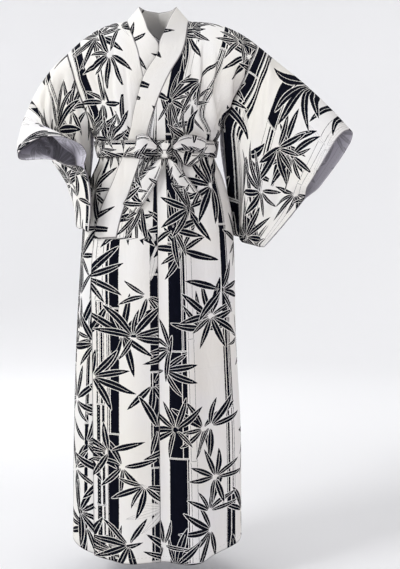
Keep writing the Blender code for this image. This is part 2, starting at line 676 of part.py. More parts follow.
def main():
    clear_objects()
    robe = bpy.data.collections.new("yukata_robe")
    bpy.context.scene.collection.children.link(robe)
    made = []
    halves = []
    bodies = {}
    overlaps = {}
    for side, name in ((1, "left"), (-1, "right")):
        back = body_face(side, 1)
        front = body_face(side, -1)
        rows = list(back) + list(front[::-1][1:])
        made.append(grid_wall("body_" + name, rows, WALL, robe))
        overlap = okumi(side)
        bodies[side] = {"back": back, "front": front}
        overlaps[side] = overlap
        made.append(grid_wall("okumi_" + name, overlap, WALL, robe))
        made.append(grid_wall("sleeve_" + name, sleeve(side, front, back), WALL, robe, closed=True))
        halves.append(collar_half(side, front, back, overlap))
    rows = halves[1] + halves[0][::-1][1:]
    made.append(grid_wall("collar", rows, COLLAR_WALL, robe))
    belt = belt_rows(bodies[1], bodies[-1], overlaps[1], halves[0])
    made.append(grid_wall("belt_band", belt, BELT_WALL, robe, closed=True))
    made.append(knot("belt_knot", robe))
    for name, table, steps in (
        ("belt_loop_left", LOOP_LEFT, LOOP_STEPS),
        ("belt_loop_right", LOOP_RIGHT, LOOP_STEPS),
        ("belt_tail_left", TAIL_LEFT, TAIL_STEPS),
        ("belt_tail_right", TAIL_RIGHT, TAIL_STEPS),
    ):
        made.append(grid_wall(name, strip_rows(table, steps), BELT_WALL, robe))
    for built in made:
        finish(built, CREAM)


main()
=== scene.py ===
# %% [markdown]
# # A cotton yukata, cut flat and worn
# The robe is sewn from straight lengths of one narrow cloth: two body lengths, two overlap
# panels, two sleeves and a collar band, tied with a narrow belt. Each piece starts here as a
# flat cut, whose UV map keeps the cloth's own metres, and is then laid over the worn form.
# That way the print runs along the cloth, as it does on the real one.

# %% Load the fixed frame
import math

import bpy
import numpy as np
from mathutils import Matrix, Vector


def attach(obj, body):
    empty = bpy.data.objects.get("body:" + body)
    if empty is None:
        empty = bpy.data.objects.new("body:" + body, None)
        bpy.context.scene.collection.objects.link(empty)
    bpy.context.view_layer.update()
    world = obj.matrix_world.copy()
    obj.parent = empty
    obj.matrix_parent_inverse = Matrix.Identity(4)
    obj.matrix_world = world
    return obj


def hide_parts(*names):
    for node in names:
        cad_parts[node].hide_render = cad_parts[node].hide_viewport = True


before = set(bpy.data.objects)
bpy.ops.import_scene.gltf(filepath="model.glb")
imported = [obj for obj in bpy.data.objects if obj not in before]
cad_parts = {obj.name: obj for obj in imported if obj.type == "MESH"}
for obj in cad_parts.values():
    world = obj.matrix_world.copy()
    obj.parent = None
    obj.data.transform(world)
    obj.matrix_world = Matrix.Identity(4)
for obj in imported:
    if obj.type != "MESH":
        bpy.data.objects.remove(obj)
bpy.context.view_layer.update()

bpy.ops.object.select_all(action="DESELECT")

# %% [markdown]
# ## The robe's sizes
# Heights are measured up from the hem, as a dressmaker measures, and the frame's origin is
# at the base of the neck. The tables are the same as the solid's, so each shell lies on its
# own solid.

# %% Sizes of the robe
NECK_BASE = 1.43
BELT_MIDDLE = 1.115
BELT_WIDTH = 0.044
BELT_TOP = BELT_MIDDLE + BELT_WIDTH / 2
NECK_HALF = 0.085
NECK_HEIGHT = 1.460
SLEEVE_DEPTH = 0.43
COLLAR_END = 0.88
OKUMI_TOP = 1.235
SEAM = 0.0003
NECK_GAP = 0.0013
ARMHOLE_GAP = 0.0020
COTTON = 0.0010  # thickness of one layer
ROUNDNESS = 2.3
UPPER_ROWS = 13  # the solid's rows above the belt, which place the V, the nape and the armpit
V_AT = 7 / UPPER_ROWS
NAPE_AT = 9 / UPPER_ROWS
ARMPIT_AT = 1 / UPPER_ROWS

SECTIONS = np.array([
    # height, left, right, front, back
    (0.00, 0.232, 0.245, 0.175, 0.165),
    (0.35, 0.229, 0.240, 0.165, 0.155),
    (0.60, 0.215, 0.230, 0.155, 0.150),
    (0.85, 0.209, 0.213, 0.142, 0.146),
    (0.95, 0.201, 0.204, 0.134, 0.142),
    (1.03, 0.180, 0.187, 0.124, 0.125),
    (1.115, 0.153, 0.161, 0.112, 0.102),
    (1.165, 0.176, 0.186, 0.126, 0.112),
    (1.26, 0.228, 0.224, 0.126, 0.118),
    (1.32, 0.265, 0.255, 0.116, 0.120),
    (1.38, 0.300, 0.290, 0.100, 0.108),
    (1.47, 0.310, 0.300, 0.074, 0.084),
])
LEFT_OPENING = np.array([
    # height, seam, collar, edge
    (0.00, 0.010, -0.120, -0.175),
    (0.30, 0.008, -0.120, -0.174),
    (0.60, 0.006, -0.119, -0.172),
    (0.85, 0.004, -0.114, -0.168),
    (0.93, 0.003, -0.098, -0.155),
    (1.02, 0.001, -0.066, -0.122),
    (1.115, 0.000, -0.034, -0.084),
    (1.176, 0.001, -0.018, -0.066),
    (1.241, 0.0035, 0.0035, -0.0526),
    (1.311, 0.035, 0.035, -0.031),
    (1.372, 0.070, 0.070, 0.006),
    (1.4614, 0.085, 0.085, 0.030),
])
RIGHT_OPENING = np.array([
    (0.00, -0.010, 0.096, 0.150),
    (0.30, -0.008, 0.096, 0.151),
    (0.60, -0.006, 0.096, 0.151),
    (0.85, -0.004, 0.096, 0.151),
    (0.93, -0.003, 0.092, 0.148),
    (1.02, -0.001, 0.064, 0.120),
    (1.115, 0.000, 0.033, 0.084),
    (1.176, -0.001, 0.010, 0.062),
    (1.241, -0.0150, -0.0150, 0.040),
    (1.311, -0.037, -0.037, 0.020),
    (1.372, -0.050, -0.050, 0.008),
    (1.4614, -0.085, -0.085, -0.030),
])
OPENINGS = {1: LEFT_OPENING, -1: RIGHT_OPENING}
SEAM_X, COLLAR_X, EDGE_X = 1, 2, 3
SHOULDERS = {
    # reach, drop, power, forward, armhole
    1: (0.267, 0.072, 2.30, -0.072, 0.93),
    -1: (0.245, 0.085, 1.90, -0.002, 0.93),
}
REACH, DROP, POWER, FORWARD, ARMHOLE = range(5)
print("worn length", round(NECK_HEIGHT, 2), "m")


# %% [markdown]
# ## Smooth curves through short tables
# A tailor draws a fair curve through a few marks. `fair` does the same with numbers: it
# passes through every row of a table, with no corner between them.

# %% Fair curves
def ease(t):
    t = np.clip(t, 0.0, 1.0)
    return t * t * (3 - 2 * t)


def fair(table, column, at):
    keys, values = table[:, 0], table[:, column]
    slopes = np.gradient(values, keys)
    at = np.clip(at, keys[0], keys[-1])
    i = np.clip(np.searchsorted(keys, at, side="right") - 1, 0, len(keys) - 2)
    width = keys[i + 1] - keys[i]
    t = (at - keys[i]) / width
    start = values[i] * (1 + 2 * t) * (1 - t) ** 2 + slopes[i] * width * t * (1 - t) ** 2
    end = values[i + 1] * t * t * (3 - 2 * t) + slopes[i + 1] * width * t * t * (t - 1)
    return start + end


print("waist, left half", round(float(fair(SECTIONS, 1, BELT_MIDDLE)), 3))

# %% [markdown]
# ## Folds and creases
# Long folds hang in the skirt, drags run over the chest and back, and short gathers start at
# the belt, deep at the cord-like pull of the belt and gone a hand's width away. Each is a soft
# trough or ridge of its own size, because even folds look machine-made.

# %% The folds' tables
LONG_FOLDS = (
    # angle at the hem, angle at the belt, width, depth at the hem, depth at the belt, top
    (8, 4, 9, -0.010, -0.004, 1.08),
    (29, 20, 11, 0.010, 0.004, 1.06),
    (50, 40, 10, -0.013, -0.005, 1.08),
    (70, 63, 10, 0.009, 0.004, 1.07),
    (-22, -14, 12, 0.008, 0.003, 1.05),
    (-40, -34, 9, -0.007, -0.004, 1.08),
    (-68, -58, 11, 0.010, 0.004, 1.07),
    (112, 116, 11, -0.012, -0.004, 1.07),
    (135, 132, 12, 0.013, 0.004, 1.06),
    (158, 152, 10, -0.010, -0.004, 1.08),
    (-163, -165, 12, 0.010, 0.004, 1.06),
    (-140, -144, 11, -0.012, -0.005, 1.08),
    (-117, -120, 12, 0.010, 0.004, 1.06),
)
DRAGS = (
    # face, x and height at one end, x and height at the other, width, depth
    (-1, 0.075, 1.16, 0.200, 1.33, 0.020, -0.007),
    (-1, 0.115, 1.15, 0.215, 1.28, 0.018, 0.006),
    (-1, -0.100, 1.16, -0.190, 1.31, 0.022, -0.006),
    (-1, -0.060, 1.17, -0.130, 1.33, 0.020, 0.005),
    (1, 0.060, 1.15, 0.170, 1.36, 0.024, -0.008),
    (1, -0.050, 1.15, -0.165, 1.34, 0.024, -0.008),
    (1, 0.010, 1.16, -0.015, 1.38, 0.022, 0.006),
)
FINE_DRAGS = (
    (-1, 0.122, 1.17, 0.128, 1.41, 0.0075, -0.0060),
    (-1, 0.148, 1.16, 0.150, 1.40, 0.0070, 0.0048),
    (-1, 0.170, 1.18, 0.185, 1.37, 0.0085, -0.0062),
    (-1, 0.050, 1.15, 0.105, 1.27, 0.0070, -0.0026),
    (-1, -0.125, 1.17, -0.165, 1.36, 0.0080, -0.0034),
    (-1, -0.150, 1.16, -0.205, 1.30, 0.0075, -0.0030),
    (-1, -0.085, 1.18, -0.110, 1.29, 0.0070, 0.0026),
    (1, 0.090, 1.15, 0.140, 1.27, 0.0090, -0.0036),
    (1, 0.030, 1.15, 0.045, 1.31, 0.0080, 0.0030),
    (1, -0.090, 1.15, -0.130, 1.29, 0.0085, -0.0034),
    (1, 0.150, 1.22, 0.205, 1.38, 0.0100, -0.0034),
    (1, -0.140, 1.20, -0.200, 1.36, 0.0100, -0.0032),
    (-1, 0.098, 1.20, 0.098, 1.43, 0.0085, -0.0050),
    (-1, 0.112, 1.22, 0.113, 1.43, 0.0060, 0.0036),
    (-1, 0.138, 1.15, 0.139, 1.42, 0.0070, -0.0052),
    (-1, 0.158, 1.14, 0.166, 1.40, 0.0060, -0.0046),
    (-1, 0.182, 1.17, 0.205, 1.36, 0.0070, 0.0046),
    (-1, 0.192, 1.20, 0.225, 1.35, 0.0070, -0.0050),
    (-1, 0.140, 1.14, 0.190, 1.24, 0.0060, -0.0046),
    (-1, 0.120, 1.14, 0.165, 1.21, 0.0055, 0.0036),
    (-1, -0.112, 1.16, -0.118, 1.42, 0.0070, -0.0046),
    (-1, -0.132, 1.18, -0.140, 1.41, 0.0060, 0.0036),
    (-1, -0.148, 1.15, -0.178, 1.38, 0.0065, -0.0052),
    (-1, -0.168, 1.18, -0.205, 1.34, 0.0060, 0.0040),
    (-1, -0.115, 1.14, -0.185, 1.23, 0.0065, -0.0050),
    (-1, -0.090, 1.14, -0.150, 1.20, 0.0055, 0.0036),
    (-1, -0.070, 1.15, -0.085, 1.36, 0.0055, -0.0030),
    (1, 0.120, 1.16, 0.185, 1.30, 0.0070, -0.0044),
    (1, -0.110, 1.16, -0.180, 1.30, 0.0070, -0.0044),
    (1, 0.095, 1.20, 0.105, 1.42, 0.0070, -0.0036),
    (1, -0.095, 1.20, -0.100, 1.42, 0.0070, -0.0036),
    (1, 0.165, 1.18, 0.215, 1.34, 0.0070, 0.0036),
    (1, -0.165, 1.18, -0.210, 1.33, 0.0070, 0.0036),
)
GATHERS = (
    # angle, width, depth, way below the belt, way above it, lean
    (-74, 2.6, -0.0048, 0.15, 0.07, 6),
    (-63, 2.2, 0.0036, 0.10, 0.05, 4),
    (-52, 2.4, -0.0042, 0.19, 0.08, 5),
    (-41, 2.0, -0.0034, 0.09, 0.06, 2),
    (22, 2.2, -0.0036, 0.12, 0.06, -3),
    (33, 2.5, -0.0046, 0.22, 0.09, 4),
    (43, 2.0, 0.0034, 0.11, 0.05, -2),
    (54, 2.3, -0.0044, 0.16, 0.08, 5),
    (66, 2.6, -0.0050, 0.25, 0.07, 4),
    (77, 2.2, 0.0036, 0.12, 0.06, -5),
    (96, 2.8, -0.0050, 0.18, 0.08, 5),
    (111, 2.3, -0.0040, 0.12, 0.06, -4),
    (127, 2.6, -0.0052, 0.24, 0.09, 4),
    (141, 2.2, 0.0036, 0.10, 0.05, -3),
    (153, 2.5, -0.0046, 0.17, 0.08, 5),
    (168, 2.3, -0.0040, 0.13, 0.06, 2),
    (-170, 2.6, -0.0046, 0.20, 0.08, -4),
    (-156, 2.2, 0.0034, 0.11, 0.05, 3),
    (-143, 2.6, -0.0052, 0.22, 0.09, -5),
    (-127, 2.4, -0.0042, 0.14, 0.06, 4),
    (-112, 2.7, -0.0050, 0.19, 0.08, -4),
    (-95, 2.3, -0.0044, 0.13, 0.06, 4),
)
HEM = np.array([
    # angle, rise
    (-180, 0.012), (-135, 0.016), (-95, 0.042), (-70, 0.030), (-50, 0.006), (0, 0.002),
    (46, 0.002), (66, 0.026), (92, 0.042), (135, 0.016), (180, 0.012),
])
HEM_FADE = 0.40
print(len(LONG_FOLDS) + len(DRAGS) + len(FINE_DRAGS) + len(GATHERS), "folds and creases")


# %% Depth of the folds at a place
def drag_depth(drag, x, height):
    _, x0, height0, x1, height1, width, depth = drag
    run, climb = x1 - x0, height1 - height0
    length = math.hypot(run, climb)
    way = ((x - x0) * run + (height - height0) * climb) / length**2
    away = ((x - x0) * climb - (height - height0) * run) / length
    return depth * ease(way / 0.25) * ease((1 - way) / 0.25) * np.exp(-((away / width) ** 2))


def turn_from(angle, middle):
    return (angle - middle + 180) % 360 - 180


def fold_depth(face, x, y, height, fine):
    angle = np.degrees(np.arctan2(x, -y))
    up = np.clip(height / BELT_MIDDLE, 0, 1)
    total = np.zeros_like(angle)
    for low_angle, top_angle, width, low_depth, top_depth, top in LONG_FOLDS:
        away = turn_from(angle, low_angle + (top_angle - low_angle) * up)
        size = low_depth + (top_depth - low_depth) * up
        total += size * ease((top + 0.06 - height) / 0.12) * np.exp(-((away / width) ** 2))
    for drag in DRAGS:
        total += np.where(face == drag[0], drag_depth(drag, x, height), 0)
    if not fine:
        return total
    for drag in FINE_DRAGS:
        total += np.where(face == drag[0], drag_depth(drag, x, height), 0)
    off = height - BELT_MIDDLE
    out = np.abs(off) - BELT_WIDTH / 2
    for middle, width, depth, below, above, lean in GATHERS:
        reach_of = np.where(off < 0, below, above)
        fade = ease(out / 0.02) * np.exp(-((np.maximum(out, 0) / reach_of) ** 2) * 2.2)
        away = turn_from(angle, middle + lean * out / 0.1)
        spread = width * (1 + np.maximum(out, 0) / 0.12)
        total += depth * fade * np.exp(-((away / spread) ** 2))
    return total


print("fold at the left side, knee height:",
      np.round(fold_depth(-1, np.array([0.16]), np.array([-0.1]), np.array([0.5]), True), 4))

# %% [markdown]
# ## The worn form
# Sections between a circle and a rectangle run up the body, and the two faces round over
# into each other at the shoulder line. Every garment piece is laid on this one form, so
# neighbours meet at their seams without a fitting step.


# %% The worn form
def sided(x, column):
    return np.where(np.asarray(x) >= 0, SHOULDERS[1][column], SHOULDERS[-1][column])


def shoulder_way(x):
    return np.clip((np.abs(x) - NECK_HALF) / (sided(x, REACH) - NECK_HALF), 0, 1.3)


def shoulder_height(x):
    dome = 0.050 * np.exp(-(np.asarray(x) / 0.045) ** 2)
    return NECK_HEIGHT + dome - sided(x, DROP) * shoulder_way(x) ** sided(x, POWER)


def half_width(x, height):
    return np.where(np.asarray(x) >= 0, fair(SECTIONS, 1, height), fair(SECTIONS, 2, height))


def reach(face, height):
    return np.where(np.asarray(face) < 0, fair(SECTIONS, 3, height), fair(SECTIONS, 4, height))


def depth(face, x, height, lift):
    across = np.clip(np.abs(x) / (half_width(x, height) + lift), 0, 1)
    torso = (reach(face, height) + lift) * (1 - across**ROUNDNESS) ** (1 / ROUNDNESS)
    rise = np.maximum(shoulder_height(x) - height, 0)
    over = np.sqrt(2 * 0.055 * rise) * (1 + (rise / 0.12) ** 2)
    return torso * over / (torso**4 + over**4 + 1e-16) ** 0.25


def form(face, x, height, lift=0.0, fine=True):
    given = (np.asarray(each, float) for each in (face, x, height, lift))
    face, x, height, lift = np.broadcast_arrays(*given)
    lean = sided(x, FORWARD) * shoulder_way(x) ** 1.5
    middle = (0.012 + lean) * ease((height - 1.10) / 0.25)
    y = middle + face * depth(face, x, height, lift)
    out = np.stack([x, y - middle], axis=-1)
    out = out / (np.linalg.norm(out, axis=-1, keepdims=True) + 1e-9)
    size = fold_depth(face, x, y - middle, height, fine) * ease((shoulder_height(x) - height) / 0.06)
    rise = fair(HEM, 1, np.degrees(np.arctan2(x, middle - y)))
    z = height + rise * np.clip(1 - height / HEM_FADE, 0, 1) ** 2 - NECK_BASE
    return np.stack([x + out[..., 0] * size, y + out[..., 1] * size, z], axis=-1)


def section_x(angle, height):
    side = np.sin(angle)
    deep = np.where(np.cos(angle) > 0, reach(-1, height), reach(1, height))
    total = np.abs(side / half_width(side, height)) ** ROUNDNESS + np.abs(np.cos(angle) / deep) ** ROUNDNESS
    return side * total ** (-1 / ROUNDNESS)


def under_lift(x, height):
    edge = fair(LEFT_OPENING, EDGE_X, height)
    return -0.007 * ease((x - edge + 0.032) / 0.045) * ease((1.445 - height) / 0.05)


print("front middle at the belt", np.round(form(-1, 0.0, BELT_MIDDLE), 3))

# %% [markdown]
# ## Flat cuts
# A grid is the right start for cloth: even squares, with a UV map that comes with it. `cut`
# adds one with an operator and scales its UV map to metres of cloth. `lay` then moves each
# vertex to its worn place, and `finish_cloth` gives the sheet its thickness and its normals.

# %% Cutting and laying
def cut(name, across, along):
    """A flat grid called name, of that many squares; returns it and each vertex's place from 0 to 1."""
    bpy.ops.mesh.primitive_grid_add(x_subdivisions=across, y_subdivisions=along, size=1)
    piece = bpy.context.object
    piece.name = name
    piece.data.name = name
    flat = np.empty(len(piece.data.vertices) * 3)
    piece.data.vertices.foreach_get("co", flat)
    flat = flat.reshape(-1, 3) + 0.5
    return piece, np.round(flat[:, 0], 6), np.round(flat[:, 1], 6)


def lay(piece, places, print_u, print_v):
    """Moves the vertices to their worn places; print_u and print_v are the print's metres at each."""
    piece.data.vertices.foreach_set("co", np.ascontiguousarray(places).ravel())
    corner = np.empty(len(piece.data.loops), dtype=int)
    piece.data.loops.foreach_get("vertex_index", corner)
    uv = np.stack([print_u[corner], print_v[corner]], axis=-1)
    piece.data.uv_layers.active.data.foreach_set("uv", uv.ravel())
    piece.data.uv_layers.active.name = "cloth_metres"
    piece.data.update()


def join_edges(piece, distance):
    """Edges that lie on each other, such as a tube's own seam, become one."""
    bpy.ops.object.select_all(action="DESELECT")
    piece.select_set(True)
    bpy.context.view_layer.objects.active = piece
    bpy.ops.object.mode_set(mode="EDIT")
    bpy.ops.mesh.select_all(action="SELECT")
    bpy.ops.mesh.remove_doubles(threshold=distance)
    bpy.ops.mesh.select_all(action="DESELECT")
    bpy.ops.object.mode_set(mode="OBJECT")


def finish_cloth(piece, thickness, outside_first):
    """Thickness, smooth shading, and the reverse of the cloth as the second material."""
    bpy.ops.object.select_all(action="DESELECT")
    piece.select_set(True)
    bpy.context.view_layer.objects.active = piece
    if not outside_first:
        bpy.ops.object.mode_set(mode="EDIT")
        bpy.ops.mesh.select_all(action="SELECT")
        bpy.ops.mesh.flip_normals()
        bpy.ops.object.mode_set(mode="OBJECT")
    wall = piece.modifiers.new("wall", "SOLIDIFY")
    wall.thickness = thickness
    wall.offset = 0.0
    wall.material_offset = 1
    wall.use_even_offset = False
    bpy.ops.object.modifier_apply(modifier=wall.name)
    bpy.ops.object.shade_smooth()
    piece.select_set(False)


def lengths_along(places, across, along):
    """Metres of cloth from the first row to each row, measured on the worn middle column."""
    grid = places.reshape(along + 1, across + 1, 3)
    steps = np.linalg.norm(np.diff(grid, axis=0), axis=-1)
    middle = np.median(steps, axis=1)
    return np.concatenate([[0], np.cumsum(middle)])


print("tools ready")

# %% [markdown]
# ## The body lengths
# One cloth runs from the back hem over the shoulder down to the front hem, with no shoulder
# seam. On the way it is 30 cm wide; at the belt it is gathered to less.

# %% Laying the two body lengths
CUT_WIDTH = 0.31
SKIRT_SHARE = 0.74  # of each half's rows that lie below the belt's upper edge
CROWDING = 1.8


def row_height(level, top_x):
    """Height of a row; level runs from 0 at the hem to 1 at the shoulder line."""
    t = np.clip((level - SKIRT_SHARE) / (1 - SKIRT_SHARE), 0, 1)
    above = (shoulder_height(top_x) - BELT_TOP) * (1 - (1 - t) ** CROWDING)
    return np.minimum(level / SKIRT_SHARE, 1) * BELT_TOP + above, t


def inner_x(side, face, height, t):
    opening = OPENINGS[side]
    front = np.where(height < OKUMI_TOP, fair(opening, SEAM_X, height), fair(opening, COLLAR_X, height))
    back = side * NECK_HALF * np.clip((t - NAPE_AT) / (1 - NAPE_AT), 0, 1) ** 0.85
    return np.where(face < 0, front, back) + side * SEAM / 2


def armhole_share(side, height):
    crest = float(shoulder_height(side * SHOULDERS[side][REACH]))
    share = 1 - (1 - SHOULDERS[side][ARMHOLE]) * ease((height - 1.135) / 0.035)
    last = SHOULDERS[side][REACH] / float(half_width(side, crest))
    return share + (last - SHOULDERS[side][ARMHOLE]) * ease((height - 1.25) / (crest - 1.25))


def body_places(side, face, u, level):
    top_x = NECK_HALF + (SHOULDERS[side][REACH] - NECK_HALF) * u
    height, t = row_height(level, side * top_x)
    inner_height, _ = row_height(level, side * NECK_HALF + 0 * u)
    outer_height, _ = row_height(level, side * SHOULDERS[side][REACH] + 0 * u)
    inner = inner_x(side, face, inner_height, t)
    start = np.arctan2(inner, -face * depth(face, inner, inner_height, 0))
    around = section_x(start + (side * math.pi / 2 - start) * u, height)
    edge = half_width(side + 0 * u, outer_height) * armhole_share(side, outer_height)
    straight = inner + (side * edge - inner) * u
    mix = ease((height - 1.135) / 0.07)
    x = np.where(u == 0, inner, around * (1 - mix) + straight * mix)
    lift = np.where((side < 0) & (face < 0), under_lift(x, height), 0.0)
    places = form(face, x, height, lift)
    places[:, 1] += face * (level >= 1) * SEAM / 2
    return places, inner


def body_length(side, name):
    across, along = 72, 300
    piece, u, w = cut(name, across, along)
    face = np.where(w < 0.5, 1.0, -1.0)
    level = 1 - np.abs(2 * w - 1)
    places, inner = body_places(side, face, u, level)
    run = lengths_along(places, across, along)
    print_v = np.repeat(run, across + 1)
    off = np.abs(inner)
    print_u = off + (CUT_WIDTH - off) * u
    lay(piece, places, print_u, print_v)
    return piece, run[-1]


bodies, body_lengths = {}, {}
for side, name in ((1, "body_left"), (-1, "body_right")):
    bodies[side], cloth_length = body_length(side, name + "_cloth")
    body_lengths[name] = float(cloth_length)
    print(name, "cloth", CUT_WIDTH, "x", round(cloth_length, 2), "m")

# %% [markdown]
# ## The overlap panels
# A half-width panel is sewn to each front edge, so that the fronts can cross. It runs straight
# from the hem, turns in under the end of the collar band, and tapers out beside the neck.

# %% Laying the overlap panels
NOTCH = 0.005
OKUMI_WIDTH = 0.165  # half the cloth's width, less the seams
OKUMI_TIP = OKUMI_TOP + 0.018  # height where the taper ends beside the neck


def okumi(side, name):
    across, along = 36, 168
    piece, u, w = cut(name, across, along)
    turn = 119 / along  # the row where the collar band starts
    low = w / turn * (COLLAR_END - NOTCH)
    high = COLLAR_END + (w - turn - 1 / along) / (1 - turn - 1 / along) * (OKUMI_TIP - COLLAR_END)
    height = np.where(w <= turn + 1e-6, low, high)
    opening = OPENINGS[side]
    tip = height >= OKUMI_TOP
    inner = np.where(height < OKUMI_TOP, fair(opening, SEAM_X, height), fair(opening, COLLAR_X, height))
    seam = np.where(tip, inner - side * SEAM / 2, fair(opening, SEAM_X, height) - side * SEAM / 2)
    sewn = fair(opening, COLLAR_X, height) + side * SEAM / 2
    outer = np.where(height < COLLAR_END, fair(opening, EDGE_X, height), sewn)
    outer = np.where(tip, inner - side * 0.002, outer)
    x = seam + (outer - seam) * u
    lift = under_lift(x, height) if side < 0 else 0.0
    places = form(-1, x, height, lift)
    lay(piece, places, u * OKUMI_WIDTH, height)
    return piece


overlaps = {1: okumi(1, "okumi_left_cloth"), -1: okumi(-1, "okumi_right_cloth")}
print("overlap panels laid")

# %% [markdown]
# ## The collar band
# A long straight strip, folded double, is sewn to both fronts and round the neck. Below the V
# it lies flat on the fronts; above it turns up and stands round the neck.

# %% Laying the collar band
NECK_FRONT = np.array([
    # way, x, y, height of the free edge
    (0.0, 0.0095, -0.100, 1.383), (0.5, 0.030, -0.062, 1.452), (1.0, 0.050, 0.008, 1.500),
])
NECK_BACK = np.array([
    (0.0, 0.000, 0.078, 1.495), (0.5, 0.034, 0.058, 1.498), (1.0, 0.050, 0.008, 1.500),
])
LOW_STEPS, HIGH_STEPS, BACK_STEPS = 40, 60, 22


def neck_edge(table, side, way):
    x, y, height = side * fair(table, 1, way), fair(table, 2, way), fair(table, 3, way)
    return np.stack([x, y, height - NECK_BASE], axis=-1)


def collar_rows(side, share):
    """Rows across the band, from its front end up over the shoulder to the nape."""
    rows = []
    opening = OPENINGS[side]
    low = [(COLLAR_END + (BELT_TOP - COLLAR_END) * k / LOW_STEPS, 0.0) for k in range(LOW_STEPS)]
    crest = float(shoulder_height(side * NECK_HALF))
    high = []
    for k in range(HIGH_STEPS + 1):
        t = k / HIGH_STEPS
        high.append((BELT_TOP + (crest - BELT_TOP) * (1 - (1 - t) ** CROWDING), t))
    for step, (height, t) in enumerate(low + high):
        way = max(0.0, (t - V_AT) / (1 - V_AT))
        gap = SEAM + (NECK_GAP - SEAM) * float(ease((t * UPPER_ROWS - 4) / 4))
        edge_height = height - (NOTCH - 0.0012 if step == 0 else 0.0)
        seam_x = float(fair(opening, COLLAR_X, height)) - side * gap
        lift = under_lift(seam_x, height) if side < 0 else 0.0
        seam = form(-1, seam_x, min(height, float(shoulder_height(side * NECK_HALF))), lift)
        edge_x = float(fair(opening, EDGE_X, min(height, 1.372)))
        x = seam_x + (edge_x - seam_x) * share
        tall = height + (edge_height - height) * share
        lift = under_lift(x, tall) if side < 0 else 0.0
        flat = form(-1, x, tall, lift)
        if step == 0:
            flat[:, 2] += 2 * SEAM
        standing = seam + (neck_edge(NECK_FRONT, side, way) - seam) * share[:, None]
        rows.append(flat + (standing - flat) * ease(way / 0.35))
    for k in range(1, BACK_STEPS + 1):
        t = 1 - (1 - NAPE_AT) * k / BACK_STEPS
        way = (t - NAPE_AT) / (1 - NAPE_AT)
        height = BELT_TOP + (crest - BELT_TOP) * (1 - (1 - t) ** CROWDING)
        edge_x = side * NECK_HALF * way**0.85
        seam = form(1, edge_x, height) + np.array([-side * NECK_GAP * min(1, way * 6), 0, NECK_GAP * 0.7])
        rows.append(seam + (neck_edge(NECK_BACK, side, way) - seam) * share[:, None])
    return rows


COLLAR_ACROSS = 14
share = np.linspace(0, 1, COLLAR_ACROSS + 1)
band_rows = collar_rows(1, share) + collar_rows(-1, share)[::-1][1:]
collar, u, w = cut("collar_cloth", COLLAR_ACROSS, len(band_rows) - 1)
places = np.concatenate(band_rows)
band_run = lengths_along(places, COLLAR_ACROSS, len(band_rows) - 1)
lay(collar, places, u * 0.056, np.repeat(band_run, COLLAR_ACROSS + 1))
print("collar band", round(float(band_run[-1]), 2), "m long")

# %% [markdown]
# ## The sleeves
# A sleeve is a straight length folded over the arm and closed below: a flat bag that hangs
# from the arm. The arm fills the top, the bag stays thin, and the cuff is sewn shut below the
# hand opening. Its rings start on the armhole's own edge, so that the two pieces meet.

# %% Laying the sleeves
LEFT_SLEEVE = np.array([
    # along, shoulder fold x y h, middle x y h, lower fold x y h, half the room
    (0.00, 0.267, -0.060, 1.388, 0.213, 0.034, 1.120, 0.212, 0.085, 0.872, 0.050),
    (0.25, 0.328, -0.100, 1.334, 0.266, -0.050, 1.092, 0.236, 0.015, 0.862, 0.052),
    (0.50, 0.386, -0.145, 1.280, 0.314, -0.100, 1.058, 0.254, -0.030, 0.856, 0.050),
    (0.75, 0.442, -0.184, 1.222, 0.360, -0.145, 1.030, 0.270, -0.060, 0.852, 0.047),
    (1.00, 0.494, -0.220, 1.160, 0.406, -0.185, 1.012, 0.288, -0.085, 0.852, 0.044),
])
RIGHT_SLEEVE = np.array([
    (0.00, -0.245, 0.010, 1.375, -0.206, 0.030, 1.130, -0.206, 0.095, 0.922, 0.052),
    (0.25, -0.303, 0.022, 1.322, -0.251, 0.012, 1.105, -0.220, 0.060, 0.908, 0.050),
    (0.50, -0.350, 0.025, 1.250, -0.257, -0.012, 1.085, -0.222, 0.000, 0.900, 0.050),
    (0.75, -0.378, 0.000, 1.172, -0.247, -0.074, 1.085, -0.212, -0.072, 0.897, 0.048),
    (1.00, -0.374, -0.065, 1.105, -0.206, -0.128, 1.086, -0.180, -0.138, 0.896, 0.046),
])
SLEEVES = {1: LEFT_SLEEVE, -1: RIGHT_SLEEVE}
SWINGS = {
    # along, width, depth of the hanging folds
    1: ((0.14, 0.10, -0.022), (0.38, 0.11, 0.016), (0.66, 0.12, -0.012)),
    -1: ((0.24, 0.12, 0.012), (0.52, 0.12, 0.003), (0.78, 0.12, 0.010)),
}
